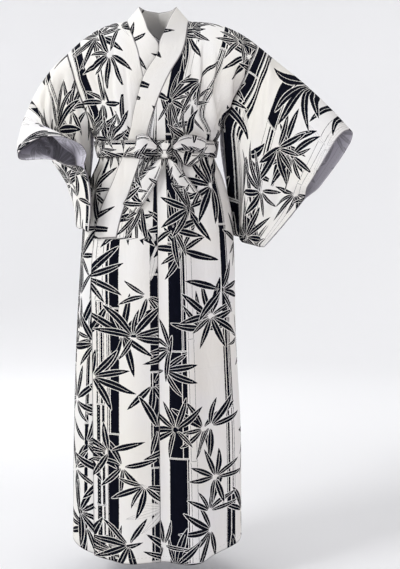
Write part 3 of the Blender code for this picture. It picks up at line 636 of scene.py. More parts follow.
SLEEVE_CREASES = {
    # along and down at one end, along and down at the other, width, depth
    1: ((0.02, 0.16, 0.30, 0.62, 0.016, -0.0060), (0.04, 0.32, 0.24, 0.86, 0.015, 0.0050),
        (0.10, 0.08, 0.44, 0.40, 0.016, -0.0040), (0.34, 0.30, 0.52, 0.90, 0.020, -0.0050),
        (0.56, 0.22, 0.62, 0.80, 0.018, 0.0040), (0.72, 0.30, 0.70, 0.88, 0.018, -0.0040),
        (0.20, 0.12, 0.34, 0.22, 0.010, 0.0030), (0.60, 0.10, 0.82, 0.20, 0.012, -0.0030)),
    -1: ((0.05, 0.14, 0.34, 0.50, 0.015, -0.0085), (0.10, 0.08, 0.54, 0.34, 0.012, 0.0075),
         (0.44, 0.06, 0.60, 0.30, 0.012, -0.0080), (0.54, 0.05, 0.66, 0.34, 0.011, 0.0070),
         (0.64, 0.08, 0.74, 0.44, 0.012, -0.0065), (0.30, 0.36, 0.46, 0.90, 0.016, -0.0055),
         (0.16, 0.06, 0.46, 0.20, 0.009, -0.0060), (0.28, 0.04, 0.62, 0.20, 0.009, 0.0050),
         (0.60, 0.40, 0.66, 0.92, 0.014, 0.0050), (0.82, 0.36, 0.80, 0.90, 0.013, -0.0045),
         (0.02, 0.30, 0.22, 0.70, 0.011, 0.0055), (0.48, 0.30, 0.80, 0.40, 0.010, 0.0040)),
}
SLEEVE_LENGTH = 0.33


def sleeve_middle(table, along, down):
    weights = ((1 - 2 * down) * (1 - down), 4 * down * (1 - down), down * (2 * down - 1))
    middle = np.array([0, 0, -NECK_BASE]) + np.zeros(np.shape(along) + (3,))
    for third, weight in enumerate(weights):
        for axis in range(3):
            middle[..., axis] += weight * fair(table, 1 + 3 * third + axis, along)
    return middle


def sleeve_outward(table, side, along, down):
    before, after = np.maximum(along - 0.05, 0), np.minimum(along + 0.05, 1)
    run_at = down * ease((down - 0.3) / 0.3)
    run = sleeve_middle(table, after, run_at) - sleeve_middle(table, before, run_at)
    fall = sleeve_middle(table, along, 0.0 * along + 1) - sleeve_middle(table, along, 0.0 * along)
    out = np.cross(run, fall)
    return -side * out / np.linalg.norm(out, axis=-1, keepdims=True)


def sleeve_room(table, along, down):
    deep = down * SLEEVE_DEPTH
    room = fair(table, 10, along)
    round_top = np.sqrt(np.maximum(0, 1 - (1 - np.minimum(deep / 0.055, 1)) ** 2))
    from_low = (SLEEVE_DEPTH - deep) / 0.02
    round_low = np.sqrt(np.maximum(0, 1 - np.maximum(0, 1 - from_low) ** 2))
    room = room + (0.010 - room) * ease((deep - 0.08) / 0.28)
    shut = ease((along - 0.80) / 0.18) * ease((deep - 0.21) / 0.05)
    return (room * round_top * (1 - shut) + 0.0014 * shut) * round_low


def sleeve_wall(side, along, face, down):
    table = SLEEVES[side]
    swing = sum(size * np.exp(-(((along - at) / width) ** 2)) for at, width, size in SWINGS[side])
    swing = swing * ease(down / 0.9) * ease(along / 0.12)
    crease = 0.0 * along
    for a0, d0, a1, d1, width, size in SLEEVE_CREASES[side]:
        run, fall = (a1 - a0) * SLEEVE_LENGTH, (d1 - d0) * SLEEVE_DEPTH
        long = math.hypot(run, fall)
        across, deep = (along - a0) * SLEEVE_LENGTH, (down - d0) * SLEEVE_DEPTH
        way = (across * run + deep * fall) / long**2
        away = (across * fall - deep * run) / long
        crease = crease + size * ease(way / 0.3) * ease((1 - way) / 0.3) * np.exp(-((away / width) ** 2))
    room = sleeve_room(table, along, down)
    crease = crease * ease(along / 0.08) * ease((1 - along) / 0.06)
    out = -face * room + swing + crease
    return sleeve_middle(table, along, down) + sleeve_outward(table, side, along, down) * out[:, None]


def armhole_line(side, face):
    """The body's outer edge from the shoulder down to the armpit, a seam's gap further out."""
    t = np.linspace(1, ARMPIT_AT, 80)
    level = SKIRT_SHARE + (1 - SKIRT_SHARE) * t
    edge, _ = body_places(side, face + 0 * t, 1.0 + 0 * t, level)
    inside, _ = body_places(side, face + 0 * t, 0.93 + 0 * t, level)
    way = (edge - inside) / np.linalg.norm(edge - inside, axis=-1, keepdims=True)
    line = edge + way * ARMHOLE_GAP
    lengths = np.concatenate([[0], np.cumsum(np.linalg.norm(np.diff(line, axis=0), axis=-1))])
    return line, lengths / SLEEVE_DEPTH


def sleeve(side, name):
    around, along_rows = 132, 64
    piece, w, along = cut(name, around, along_rows)
    face = np.where(w < 0.5, -1.0, 1.0)
    down = 1 - np.abs(2 * w - 1)
    down = 1 - down  # 1 at the lower fold on both ends of the cut, 0 at the shoulder fold
    down = np.where(down < 1e-9, 0, down)
    places = sleeve_wall(side, along, face, down)
    shift = np.zeros_like(places)
    for one_face in (-1.0, 1.0):
        line, downs = armhole_line(side, one_face)
        on = face == one_face
        reach_down = np.clip(down[on], 0, downs[-1])
        root = np.stack([np.interp(reach_down, downs, line[:, axis]) for axis in range(3)], axis=-1)
        if one_face < 0:
            front_crest = line[0]
        wall = sleeve_wall(side, 0 * reach_down, one_face + 0 * reach_down, reach_down)
        fade = np.where(down[on] <= downs[-1], 1.0, 1 - ease((down[on] - downs[-1]) / 0.38))
        shift[on] = (root - wall) * fade[:, None]
        if one_face > 0:
            crest = down[on] < 1e-6
            shift[np.where(on)[0][crest]] += (front_crest - line[0]) / 2
    shift *= (1 - ease(along / 0.5))[:, None]
    places = places + shift
    lay(piece, places, along * SLEEVE_LENGTH, w * 2 * SLEEVE_DEPTH)
    join_edges(piece, 0.0002)
    return piece


sleeves = {1: sleeve(1, "sleeve_left_cloth"), -1: sleeve(-1, "sleeve_right_cloth")}
print("sleeves laid")

# %% [markdown]
# ## The belt and its bow
# The belt is a narrow tube of the same cloth, pressed flat. It lies on the robe a little way
# out, is wrapped into a knot in front, and ends in two loops and two tails that droop.

# %% Laying the belt band
def ring_at(height):
    level = height / BELT_TOP * SKIRT_SHARE
    sweep = np.linspace(0, 1, 60)
    flat = 0 * sweep + level
    ring = []
    for side, face, way in ((-1, 1, sweep[::-1]), (1, 1, sweep), (1, -1, sweep[::-1])):
        ring.append(body_places(side, face + 0 * way, way, flat)[0])
    columns = (SEAM_X, COLLAR_X, EDGE_X)
    seam, collar_x, edge = (float(fair(LEFT_OPENING, column, height)) for column in columns)
    for x0, x1 in ((seam, collar_x), (collar_x, edge)):
        ring.append(form(-1, x0 + (x1 - x0) * sweep, height))
    shown = sweep[sweep >= 0.4]
    ring.append(body_places(-1, -1 + 0 * shown, shown, 0 * shown + level)[0])
    return np.concatenate(ring)


def evened(ring, count):
    """The same closed ring through evenly spaced points, with its steps smoothed."""
    closed = np.vstack([ring, ring[:1]])
    run = np.concatenate([[0], np.cumsum(np.linalg.norm(np.diff(closed, axis=0), axis=-1))])
    at = np.linspace(0, run[-1], count, endpoint=False)
    points = np.stack([np.interp(at, run, closed[:, axis]) for axis in range(3)], axis=-1)
    for _ in range(12):
        points = (np.roll(points, 1, axis=0) + 2 * points + np.roll(points, -1, axis=0)) / 4
    return points, run[-1]


BELT_STEPS, BELT_ROWS = 260, 8
low_ring, belt_round = evened(ring_at(BELT_MIDDLE - BELT_WIDTH / 2), BELT_STEPS)
high_ring, _ = evened(ring_at(BELT_TOP), BELT_STEPS)
belt, u, w = cut("belt_band_cloth", BELT_ROWS, BELT_STEPS)
step = np.round(w * BELT_STEPS).astype(int) % BELT_STEPS
places = low_ring[step] + (high_ring[step] - low_ring[step]) * u[:, None]
out = places * np.array([1, 1, 0])
out /= np.linalg.norm(out, axis=-1, keepdims=True)
ripple = 0.0007 * np.sin(w * 2 * math.pi * 17 + 2 * u) + 0.0005 * np.sin(w * 2 * math.pi * 41 + 5 * u)
belly = 0.0010 * np.sin(math.pi * u)
places = places + out * (0.0050 + ripple + belly)[:, None]
lay(belt, places, u * BELT_WIDTH, w * belt_round)
join_edges(belt, 0.0002)
print("belt", round(float(belt_round), 2), "m round the waist")

# %% Laying the loops and tails
LOOP_RIGHT = np.array([
    # way, x, height, lift, half of the width across, up and out
    (0.00, 0.0024, 1.119, 0.0200, 0.000, 0.014, 0.000),
    (0.25, -0.030, 1.128, 0.0300, 0.000, 0.024, 0.004),
    (0.50, -0.055, 1.119, 0.0200, 0.003, 0.027, 0.002),
    (0.75, -0.032, 1.112, 0.0092, 0.000, 0.024, 0.000),
    (1.00, 0.0020, 1.113, 0.0110, 0.000, 0.014, 0.000),
])
LOOP_LEFT = np.array([
    (0.00, 0.0432, 1.119, 0.0200, 0.000, 0.014, 0.002),
    (0.25, 0.085, 1.131, 0.0290, 0.000, 0.019, 0.008),
    (0.50, 0.129, 1.118, 0.0210, 0.004, 0.019, 0.006),
    (0.75, 0.100, 1.086, 0.0120, 0.010, 0.018, 0.000),
    (1.00, 0.0440, 1.106, 0.0120, 0.001, 0.013, 0.000),
])
TAIL_RIGHT = np.array([
    (0.00, 0.0125, 1.0885, 0.0188, 0.009, -0.001, 0.000),
    (0.33, -0.014, 1.046, 0.0110, 0.019, -0.010, 0.002),
    (0.66, -0.042, 1.002, 0.0080, 0.022, -0.012, -0.001),
    (1.00, -0.071, 0.957, 0.0065, 0.021, -0.012, 0.001),
])
TAIL_LEFT = np.array([
    (0.00, 0.0335, 1.0885, 0.0188, 0.009, 0.001, 0.000),
    (0.33, 0.050, 1.050, 0.0110, 0.016, 0.008, -0.002),
    (0.66, 0.079, 1.012, 0.0080, 0.018, 0.012, 0.001),
    (1.00, 0.108, 0.973, 0.0065, 0.018, 0.012, 0.000),
])


def strip(name, table, length):
    across, along = 12, 60
    piece, u, w = cut(name, across, along)
    x, height, lift, step_x, step_up, step_out = (fair(table, column, w) for column in range(1, 7))
    share = 2 * u - 1
    pucker = 0.0011 * np.sin(u * 9 + 3 * w) * np.exp(-w * 4) + 0.0006 * np.sin(u * 7 + w * 11)
    out = lift + step_out * share + pucker
    places = form(-1, x + step_x * share, height + step_up * share, out, fine=False)
    lay(piece, places, u * BELT_WIDTH, w * length)
    return piece


bow = {
    "belt_loop_right": strip("belt_loop_right_cloth", LOOP_RIGHT, 0.14),
    "belt_loop_left": strip("belt_loop_left_cloth", LOOP_LEFT, 0.20),
    "belt_tail_right": strip("belt_tail_right_cloth", TAIL_RIGHT, 0.16),
    "belt_tail_left": strip("belt_tail_left_cloth", TAIL_LEFT, 0.15),
}
print("bow:", ", ".join(bow))

# %% [markdown]
# ### The knot
# The belt wraps once over its own crossing. A cube, subdivided and rounded,
# gives the soft block, and a few slanting creases turn it into wrapped cloth.

# %% Tying the knot
KNOT_PLACE = form(-1, 0.023, 1.110, 0.0190, fine=False)
KNOT_HALF = np.array([0.0192, 0.0105, 0.0215])
bpy.ops.mesh.primitive_cube_add(size=2)
knot = bpy.context.object
knot.name = "belt_knot_cloth"
bpy.ops.object.mode_set(mode="EDIT")
bpy.ops.mesh.select_all(action="SELECT")
bpy.ops.mesh.subdivide(number_cuts=23)
bpy.ops.object.mode_set(mode="OBJECT")
cube = np.empty(len(knot.data.vertices) * 3)
knot.data.vertices.foreach_get("co", cube)
cube = cube.reshape(-1, 3)
ball = cube / np.linalg.norm(cube, axis=1, keepdims=True)
soft = cube * 0.45 + ball * 1.15 * 0.55
soft /= np.abs(soft).max()
slant = soft[:, 0] * 5.5 + soft[:, 2] * 1.6
wrap = 0.055 * np.sin(slant * 1.7 + 0.6) + 0.030 * np.sin(slant * 3.9)
soft = soft * (1 - 0.055 + wrap[:, None] * (1 - 0.6 * np.abs(soft[:, 2:])))
knot.data.vertices.foreach_set("co", (KNOT_PLACE + soft * KNOT_HALF).ravel())
around = np.arctan2(soft[:, 2], -soft[:, 1]) / (2 * math.pi)
corner = np.empty(len(knot.data.loops), dtype=int)
knot.data.loops.foreach_get("vertex_index", corner)
uv = np.stack([(soft[corner, 0] + 1) * BELT_WIDTH / 2, soft[corner, 2] * 0.022], axis=-1)
knot.data.uv_layers.active.data.foreach_set("uv", uv.ravel())
knot.data.uv_layers.active.name = "cloth_metres"
knot.data.update()
bpy.ops.object.shade_smooth()
print("knot at", np.round(KNOT_PLACE, 3))

# %% [markdown]
# ## Printing the cotton
# The cloth is undyed cotton printed in one blue-black ink: tall bamboo stalks along the cloth
# and sprays of leaves over them. A picture would blur close up, so the print is worked out
# from the cloth's own metres in the material. Each spray of leaves is one repeating square
# with a random middle, and polar angles cut it into wedges, one leaf in each.

# %% Small helpers for node maths
class Sums:
    """Adds maths nodes to one node tree, so that the print can be written as sums."""

    def __init__(self, tree):
        self.tree = tree

    def put(self, kind, **settings):
        node = self.tree.nodes.new(kind)
        for key, value in settings.items():
            setattr(node, key, value)
        return node

    def fill(self, socket, value):
        if isinstance(value, bpy.types.NodeSocket):
            self.tree.links.new(value, socket)
        else:
            socket.default_value = value

    def do(self, operation, *values, clamp=False):
        node = self.put("ShaderNodeMath", operation=operation, use_clamp=clamp)
        for socket, value in zip(node.inputs, values):
            self.fill(socket, value)
        return node.outputs[0]

    def less(self, a, b, soft):
        """1 where a is below b, 0 where it is above, over a soft edge."""
        gap = self.do("SUBTRACT", b, a)
        return self.do("MULTIPLY_ADD", gap, 1.0 / soft, 0.5, clamp=True)

    def vector(self, operation, *values, scale=None):
        node = self.put("ShaderNodeVectorMath", operation=operation)
        for socket, value in zip(node.inputs, values):
            self.fill(socket, value)
        if scale is not None:
            self.fill(node.inputs["Scale"], scale)
        return node.outputs["Vector"]

    def split(self, vector):
        node = self.put("ShaderNodeSeparateXYZ")
        self.fill(node.inputs[0], vector)
        return node.outputs[0], node.outputs[1], node.outputs[2]

    def join(self, x, y, z=0.0):
        node = self.put("ShaderNodeCombineXYZ")
        for socket, value in zip(node.inputs, (x, y, z)):
            self.fill(socket, value)
        return node.outputs[0]

    def chance(self, vector):
        """Three random numbers and a fourth, the same for the same whole numbers."""
        node = self.put("ShaderNodeTexWhiteNoise", noise_dimensions="3D")
        self.fill(node.inputs["Vector"], vector)
        red, green, blue = self.split(node.outputs["Color"])
        return red, green, blue, node.outputs["Value"]


print("node helpers ready")

# %% One spray of leaves
INK_EDGE = 0.0004
LEAVES_ROUND = 10
SWAY = 4.4


def spray_group():
    tree = bpy.data.node_groups.new("leaf spray", "ShaderNodeTree")
    face = tree.interface
    face.new_socket("Place", in_out="INPUT", socket_type="NodeSocketVector")
    for name in ("Seed", "Cell across", "Cell along", "Share", "Leaf length"):
        face.new_socket(name, in_out="INPUT", socket_type="NodeSocketFloat")
    for name in ("Ink", "Halo", "Line"):
        face.new_socket(name, in_out="OUTPUT", socket_type="NodeSocketFloat")
    sums = Sums(tree)
    given = tree.nodes.new("NodeGroupInput").outputs
    made = tree.nodes.new("NodeGroupOutput").inputs
    seed = given["Seed"]
    cell = sums.join(given["Cell across"], given["Cell along"], 1.0)
    shifted = sums.vector("ADD", given["Place"], sums.vector("SCALE", (0.137, 0.213, 0.0), scale=seed))
    scaled = sums.vector("DIVIDE", shifted, cell)
    index = sums.vector("FLOOR", scaled)
    ix, iy, _ = sums.split(index)
    red, green, blue, shown = sums.chance(sums.join(ix, iy, seed))
    local = sums.vector("SUBTRACT", scaled, index)
    centre_x = sums.do("MULTIPLY_ADD", red, 0.36, 0.32)
    centre_y = sums.do("MULTIPLY_ADD", green, 0.36, 0.32)
    off = sums.vector("MULTIPLY", sums.vector("SUBTRACT", local, sums.join(centre_x, centre_y)), cell)
    turn = sums.put("ShaderNodeVectorRotate", rotation_type="Z_AXIS")
    sums.fill(turn.inputs["Vector"], off)
    sums.fill(turn.inputs["Angle"], sums.do("MULTIPLY_ADD", blue, SWAY, 0.5 * math.pi - 0.5 * SWAY))
    x, y, _ = sums.split(turn.outputs[0])
    far = sums.do("SQRT", sums.do("ADD", sums.do("MULTIPLY", x, x), sums.do("MULTIPLY", y, y)))
    angle = sums.do("ARCTAN2", y, x)
    wedge = sums.do("MULTIPLY_ADD", angle, LEAVES_ROUND / (2 * math.pi), LEAVES_ROUND / 2)
    number = sums.do("FLOOR", wedge)
    leaf_a, leaf_b, leaf_c, leaf_here = sums.chance(
        sums.join(sums.do("ADD", ix, sums.do("MULTIPLY", seed, 7.31)), iy, number))
    swing = sums.do("MULTIPLY_ADD", leaf_a, 0.34, -0.17)
    local_angle = sums.do("SUBTRACT", sums.do("SUBTRACT", wedge, number), sums.do("ADD", swing, 0.5))
    local_angle = sums.do("MULTIPLY", local_angle, 2 * math.pi / LEAVES_ROUND)
    along = sums.do("MULTIPLY", far, sums.do("COSINE", local_angle))
    across = sums.do("MULTIPLY", far, sums.do("SINE", local_angle))
    length = sums.do("MULTIPLY", given["Leaf length"], sums.do("MULTIPLY_ADD", leaf_b, 0.45, 0.62))
    t = sums.do("DIVIDE", sums.do("SUBTRACT", along, 0.007), length)
    inside = sums.do("MULTIPLY", sums.do("GREATER_THAN", t, 0.0), sums.do("LESS_THAN", t, 1.0))
    near = sums.do("MINIMUM", sums.do("MAXIMUM", t, 0.0001), 0.9999)
    bend = sums.do("MULTIPLY_ADD", leaf_c, 0.036, -0.018)
    across = sums.do("SUBTRACT", across, sums.do("MULTIPLY", bend, sums.do("MULTIPLY", near, near)))
    across = sums.do("ABSOLUTE", across)
    swell = sums.do("POWER", near, 0.62)
    taper = sums.do("POWER", sums.do("SUBTRACT", 1.0, near), 0.85)
    half = sums.do("MULTIPLY", sums.do("MULTIPLY", swell, taper), sums.do("MULTIPLY", length, 0.245))
    aside = sums.do("ABSOLUTE", sums.do("SUBTRACT", number, LEAVES_ROUND / 2 - 0.5))
    missing = sums.do("MULTIPLY_ADD", sums.do("GREATER_THAN", aside, 2.8), 0.62, 0.10)
    spray_here = sums.do("LESS_THAN", shown, given["Share"])
    here = sums.do("MULTIPLY", spray_here, sums.do("GREATER_THAN", leaf_here, missing))
    here = sums.do("MULTIPLY", here, inside)
    body = sums.do("MULTIPLY", sums.less(across, half, INK_EDGE), here)
    halo = sums.do("MULTIPLY", sums.less(across, sums.do("ADD", half, 0.0016), INK_EDGE), here)
    teeth = sums.do("PINGPONG", along, 0.0022)
    rib_half = sums.do("MULTIPLY_ADD", teeth, 0.17, 0.00026)
    rib = sums.do("MULTIPLY", sums.less(across, rib_half, INK_EDGE), sums.do("LESS_THAN", t, 0.82))
    tree.links.new(sums.do("MULTIPLY", body, sums.do("SUBTRACT", 1.0, rib)), made["Ink"])
    tree.links.new(halo, made["Halo"])
    edge = sums.do("ABSOLUTE", sums.do("SUBTRACT", across, half))
    line = sums.do("MAXIMUM", sums.less(edge, 0.00055, INK_EDGE), sums.less(across, 0.0004, INK_EDGE))
    tree.links.new(sums.do("MULTIPLY", sums.do("MULTIPLY", line, here), body), made["Line"])
    return tree


spray = spray_group()
print("leaf spray:", len(spray.nodes), "nodes")

# %% [markdown]
# ### Stalks
# A stalk is a band along the cloth, cut by a pale joint every hand or two. Between two joints
# it is either solid ink with a few light lines, or a bundle of dark and light stripes, or only
# an outline.

# %% One stalk
def stalk_group():
    tree = bpy.data.node_groups.new("bamboo stalk", "ShaderNodeTree")
    face = tree.interface
    face.new_socket("Place", in_out="INPUT", socket_type="NodeSocketVector")
    for name in ("Left edge", "Width", "Seed", "Joint spacing", "Striped share", "Outline only"):
        face.new_socket(name, in_out="INPUT", socket_type="NodeSocketFloat")
    for name in ("Ink", "Cover"):
        face.new_socket(name, in_out="OUTPUT", socket_type="NodeSocketFloat")
    sums = Sums(tree)
    given = tree.nodes.new("NodeGroupInput").outputs
    made = tree.nodes.new("NodeGroupOutput").inputs
    u, v, _ = sums.split(given["Place"])
    seed = given["Seed"]
    climb = sums.do("DIVIDE", sums.do("ADD", v, sums.do("MULTIPLY", seed, 0.37)), given["Joint spacing"])
    segment = sums.do("FLOOR", climb)
    within = sums.do("MULTIPLY", sums.do("SUBTRACT", climb, segment), given["Joint spacing"])
    _, shift, _, kind = sums.chance(sums.join(segment, seed, 3.0))
    flare = sums.do("MULTIPLY", sums.less(within, 0.010, 0.006), 0.0014)
    x = sums.do("DIVIDE", sums.do("SUBTRACT", u, given["Left edge"]), given["Width"])
    from_edge = sums.do("SUBTRACT", 0.5, sums.do("ABSOLUTE", sums.do("SUBTRACT", x, 0.5)))
    from_edge = sums.do("ADD", sums.do("MULTIPLY", from_edge, given["Width"]), flare)
    cover = sums.less(0.0, from_edge, INK_EDGE)
    stripe = sums.do("FLOOR", sums.do("MULTIPLY", u, 460.0))
    bar_a, bar_b, _, _ = sums.chance(sums.join(stripe, segment, seed))
    striped = sums.do("LESS_THAN", kind, given["Striped share"])
    light_striped = sums.do("MULTIPLY", sums.do("GREATER_THAN", bar_a, 0.52), striped)
    edge_lines = sums.do("MULTIPLY", sums.do("GREATER_THAN", bar_b, 0.80), sums.do("GREATER_THAN", x, 0.62))
    light = sums.do("MAXIMUM", light_striped, edge_lines)
    solid = sums.do("SUBTRACT", 1.0, light)
    outline = sums.less(from_edge, 0.0011, INK_EDGE)
    filled = sums.do("SUBTRACT", 1.0, given["Outline only"])
    ink = sums.do("MAXIMUM", sums.do("MULTIPLY", solid, filled), outline)
    joint = sums.less(within, 0.0050, 0.0008)
    thread = sums.less(sums.do("ABSOLUTE", sums.do("SUBTRACT", within, 0.0026)), 0.0006, INK_EDGE)
    ink = sums.do("MULTIPLY", ink, sums.do("SUBTRACT", 1.0, joint))
    ink = sums.do("MAXIMUM", ink, sums.do("MULTIPLY", thread, 0.8))
    tree.links.new(sums.do("MULTIPLY", ink, cover), made["Ink"])
    tree.links.new(cover, made["Cover"])
    return tree


stalk = stalk_group()
print("bamboo stalk:", len(stalk.nodes), "nodes")

# %% [markdown]
# ### The printed cotton, face and reverse
# Stalks are printed first, thin drawn leaves over them, and the dark sprays last, each with a
# pale edge that parts it from what is behind. Plain weave shows as a fine bump. The reverse
# shows the same ink, only faintly, on a darker, cooler white that is painted shade for the robe's inside.

# %% Printed cotton
CREAM = (0.86, 0.835, 0.775, 1.0)
# painted shade: the reverse's white is darker and cooler than the face's, as the inside of the robe lies in
# shade; its faint print is real
REVERSE_SHADE_WHITE = (0.72, 0.70, 0.77, 1.0)
INK = (0.0035, 0.0042, 0.0095, 1.0)
THREAD = 0.00055
SPRAYS = (
    # seed, cell across, cell along, leaf length
    (1.0, 0.235, 0.275, 0.100),
    (2.0, 0.255, 0.300, 0.106),
    (3.0, 0.225, 0.290, 0.094),
    (4.0, 0.275, 0.265, 0.104),
    (5.0, 0.320, 0.290, 0.102),
)


def use_group(sums, tree, place, **values):
    node = sums.put("ShaderNodeGroup")
    node.node_tree = tree
    sums.fill(node.inputs["Place"], place)
    for name, value in values.items():
        node.inputs[name.replace("_", " ").capitalize()].default_value = value
    return node.outputs


CUTS = {
    # width and length of each flat cut, as its print is laid
    "body_left": (CUT_WIDTH, body_lengths["body_left"]),
    "body_right": (CUT_WIDTH, body_lengths["body_right"]),
    "okumi_left": (OKUMI_WIDTH, OKUMI_TIP), "okumi_right": (OKUMI_WIDTH, OKUMI_TIP),
    "sleeve_left": (SLEEVE_LENGTH, 2 * SLEEVE_DEPTH),
    "sleeve_right": (SLEEVE_LENGTH, 2 * SLEEVE_DEPTH),
    "collar": (0.056, float(band_run[-1])), "belt": (BELT_WIDTH, float(belt_round)),
}


def sewn_edges(sums, u, v, cut_size, hemmed):
    """A dent along the cut edges, also darkened there as painted shade, and the small stitches that hold a
    hem.
    """
    wide, long = cut_size
    from_side = sums.do("SUBTRACT", wide / 2, sums.do("ABSOLUTE", sums.do("SUBTRACT", u, wide / 2)))
    from_end = sums.do("SUBTRACT", long / 2, sums.do("ABSOLUTE", sums.do("SUBTRACT", v, long / 2)))
    from_end = sums.do("ABSOLUTE", from_end)
    # painted shade: this mask darkens the colour within 1.6 mm of each cut edge, and also dents the bump
    groove_and_shade = sums.do("MAXIMUM", sums.less(from_side, 0.0016, 0.0016), sums.less(from_end, 0.0016, 0.0016))
    stitches = 0.0
    rows = {"sides": from_side, "cuff": sums.do("SUBTRACT", wide, u), "ends": from_end}
    for distance, along in hemmed:
        row = rows[along]
        other = u if along == "ends" else v
        on_row = sums.less(sums.do("ABSOLUTE", sums.do("SUBTRACT", row, distance)), 0.0005, 0.0004)
        dash = sums.less(sums.do("PINGPONG", other, 0.0045), 0.0016, 0.0005)
        stitches = sums.do("MAXIMUM", stitches, sums.do("MULTIPLY", on_row, dash))
    return groove_and_shade, stitches


def printed_cotton(name, stalks, seed, share, drawn, spacing, cut_size, hemmed, reverse=False):
    cloth = bpy.data.materials.new(name)
    cloth.use_nodes = True
    sums = Sums(cloth.node_tree)
    shader = cloth.node_tree.nodes["Principled BSDF"]
    uv = sums.put("ShaderNodeUVMap", uv_map="cloth_metres").outputs[0]
    wobble = sums.put("ShaderNodeTexNoise", noise_dimensions="2D")
    wobble.inputs["Scale"].default_value = 260.0
    wobble.inputs["Detail"].default_value = 1.0
    sums.fill(wobble.inputs["Vector"], uv)
    spread = sums.vector("SUBTRACT", wobble.outputs["Color"], (0.5, 0.5, 0.5))
    place = sums.vector("ADD", uv, sums.vector("SCALE", spread, scale=0.0016))
    dark = 0.0
    for left, width, joints, striped, outline, stalk_seed in stalks:
        band = use_group(sums, stalk, place, left_edge=left, width=width, seed=stalk_seed + seed,
                         joint_spacing=joints, striped_share=striped, outline_only=outline)
        kept = sums.do("MULTIPLY", dark, sums.do("SUBTRACT", 1.0, band["Cover"]))
        dark = sums.do("ADD", kept, band["Ink"])
    if drawn:
        lines = use_group(sums, spray, place, seed=seed + 11.0, cell_across=0.31, cell_along=0.37,
                          share=drawn, leaf_length=0.088)
        kept = sums.do("MULTIPLY", dark, sums.do("MULTIPLY_ADD", lines["Halo"], -0.88, 1.0))
        dark = sums.do("ADD", kept, sums.do("MULTIPLY", lines["Line"], 0.55))
    for number, across, along, leaf in SPRAYS:
        leaves = use_group(sums, spray, place, seed=seed + number, cell_across=across * spacing,
                           cell_along=along * spacing, share=share, leaf_length=leaf * spacing ** 0.5)
        kept = sums.do("MULTIPLY", dark, sums.do("SUBTRACT", 1.0, leaves["Halo"]))
        dark = sums.do("ADD", kept, leaves["Ink"])
    mottle = sums.put("ShaderNodeTexNoise", noise_dimensions="2D")
    mottle.inputs["Scale"].default_value = 5.0
    mottle.inputs["Detail"].default_value = 3.0
    sums.fill(mottle.inputs["Vector"], uv)
    ground = sums.put("ShaderNodeMix", data_type="RGBA")
    sums.fill(ground.inputs[0], sums.do("MULTIPLY_ADD", mottle.outputs[0], 1.6, -0.45, clamp=True))
    # on the reverse both ground colours are painted shade, darker and cooler than the face's
    ground.inputs[6].default_value = CREAM if not reverse else REVERSE_SHADE_WHITE
    ground.inputs[7].default_value = (0.86, 0.858, 0.872, 1.0) if not reverse else (0.76, 0.74, 0.79, 1.0)
    strength = 1.0 if not reverse else 0.34
    colour = sums.put("ShaderNodeMix", data_type="RGBA")
    sums.fill(colour.inputs[0], sums.do("MULTIPLY", dark, strength, clamp=True))
    sums.fill(colour.inputs[6], ground.outputs[2])
    colour.inputs[7].default_value = INK
    u, v, _ = sums.split(uv)
    groove_and_shade, stitches = sewn_edges(sums, u, v, cut_size, hemmed)
    # painted shade: the colour is multiplied darker along the seams and cut edges
    painted_seam_shade = sums.put("ShaderNodeMix", data_type="RGBA", blend_type="MULTIPLY")
    sums.fill(painted_seam_shade.inputs[0], groove_and_shade)
    sums.fill(painted_seam_shade.inputs[6], colour.outputs[2])
    painted_seam_shade.inputs[7].default_value = (0.42, 0.41, 0.43, 1.0)
    sewn = sums.put("ShaderNodeMix", data_type="RGBA")
    sums.fill(sewn.inputs[0], stitches)
    sums.fill(sewn.inputs[6], painted_seam_shade.outputs[2])
    sewn.inputs[7].default_value = (0.52, 0.50, 0.47, 1.0)
    sums.fill(shader.inputs["Base Color"], sewn.outputs[2])
    shader.inputs["Roughness"].default_value = 0.86
    shader.inputs["Specular IOR Level"].default_value = 0.04
    shader.inputs["Sheen Weight"].default_value = 0.008
    shader.inputs["Sheen Roughness"].default_value = 0.5
    warp = sums.do("SINE", sums.do("MULTIPLY", u, 2 * math.pi / THREAD))
    weft = sums.do("SINE", sums.do("MULTIPLY", v, 2 * math.pi / THREAD))
    weave = sums.do("MULTIPLY", sums.do("MULTIPLY", warp, weft), 0.00006)
    crumple = sums.put("ShaderNodeTexNoise", noise_dimensions="2D")
    crumple.inputs["Scale"].default_value = 30.0
    crumple.inputs["Detail"].default_value = 4.0
    crumple.inputs["Distortion"].default_value = 0.8
    sums.fill(crumple.inputs["Vector"], sums.vector("MULTIPLY", uv, (1.6, 0.5, 1.0)))
    height = sums.do("ADD", weave, sums.do("MULTIPLY", crumple.outputs[0], 0.0022))
    uneven = sums.do("MULTIPLY_ADD", mottle.outputs[0], 0.02, v)
    packed = sums.less(sums.do("PINGPONG", sums.do("ADD", uneven, 0.06), 0.185), 0.0014, 0.0028)
    height = sums.do("ADD", height, sums.do("MULTIPLY", packed, 0.0005))
    height = sums.do("SUBTRACT", height, sums.do("MULTIPLY", groove_and_shade, 0.0012))
    height = sums.do("SUBTRACT", height, sums.do("MULTIPLY", stitches, 0.0004))
    bump = sums.put("ShaderNodeBump")
    bump.inputs["Strength"].default_value = 0.55
    bump.inputs["Distance"].default_value = 1.0
    sums.fill(bump.inputs["Height"], height)
    sums.fill(shader.inputs["Normal"], bump.outputs[0])
    return cloth


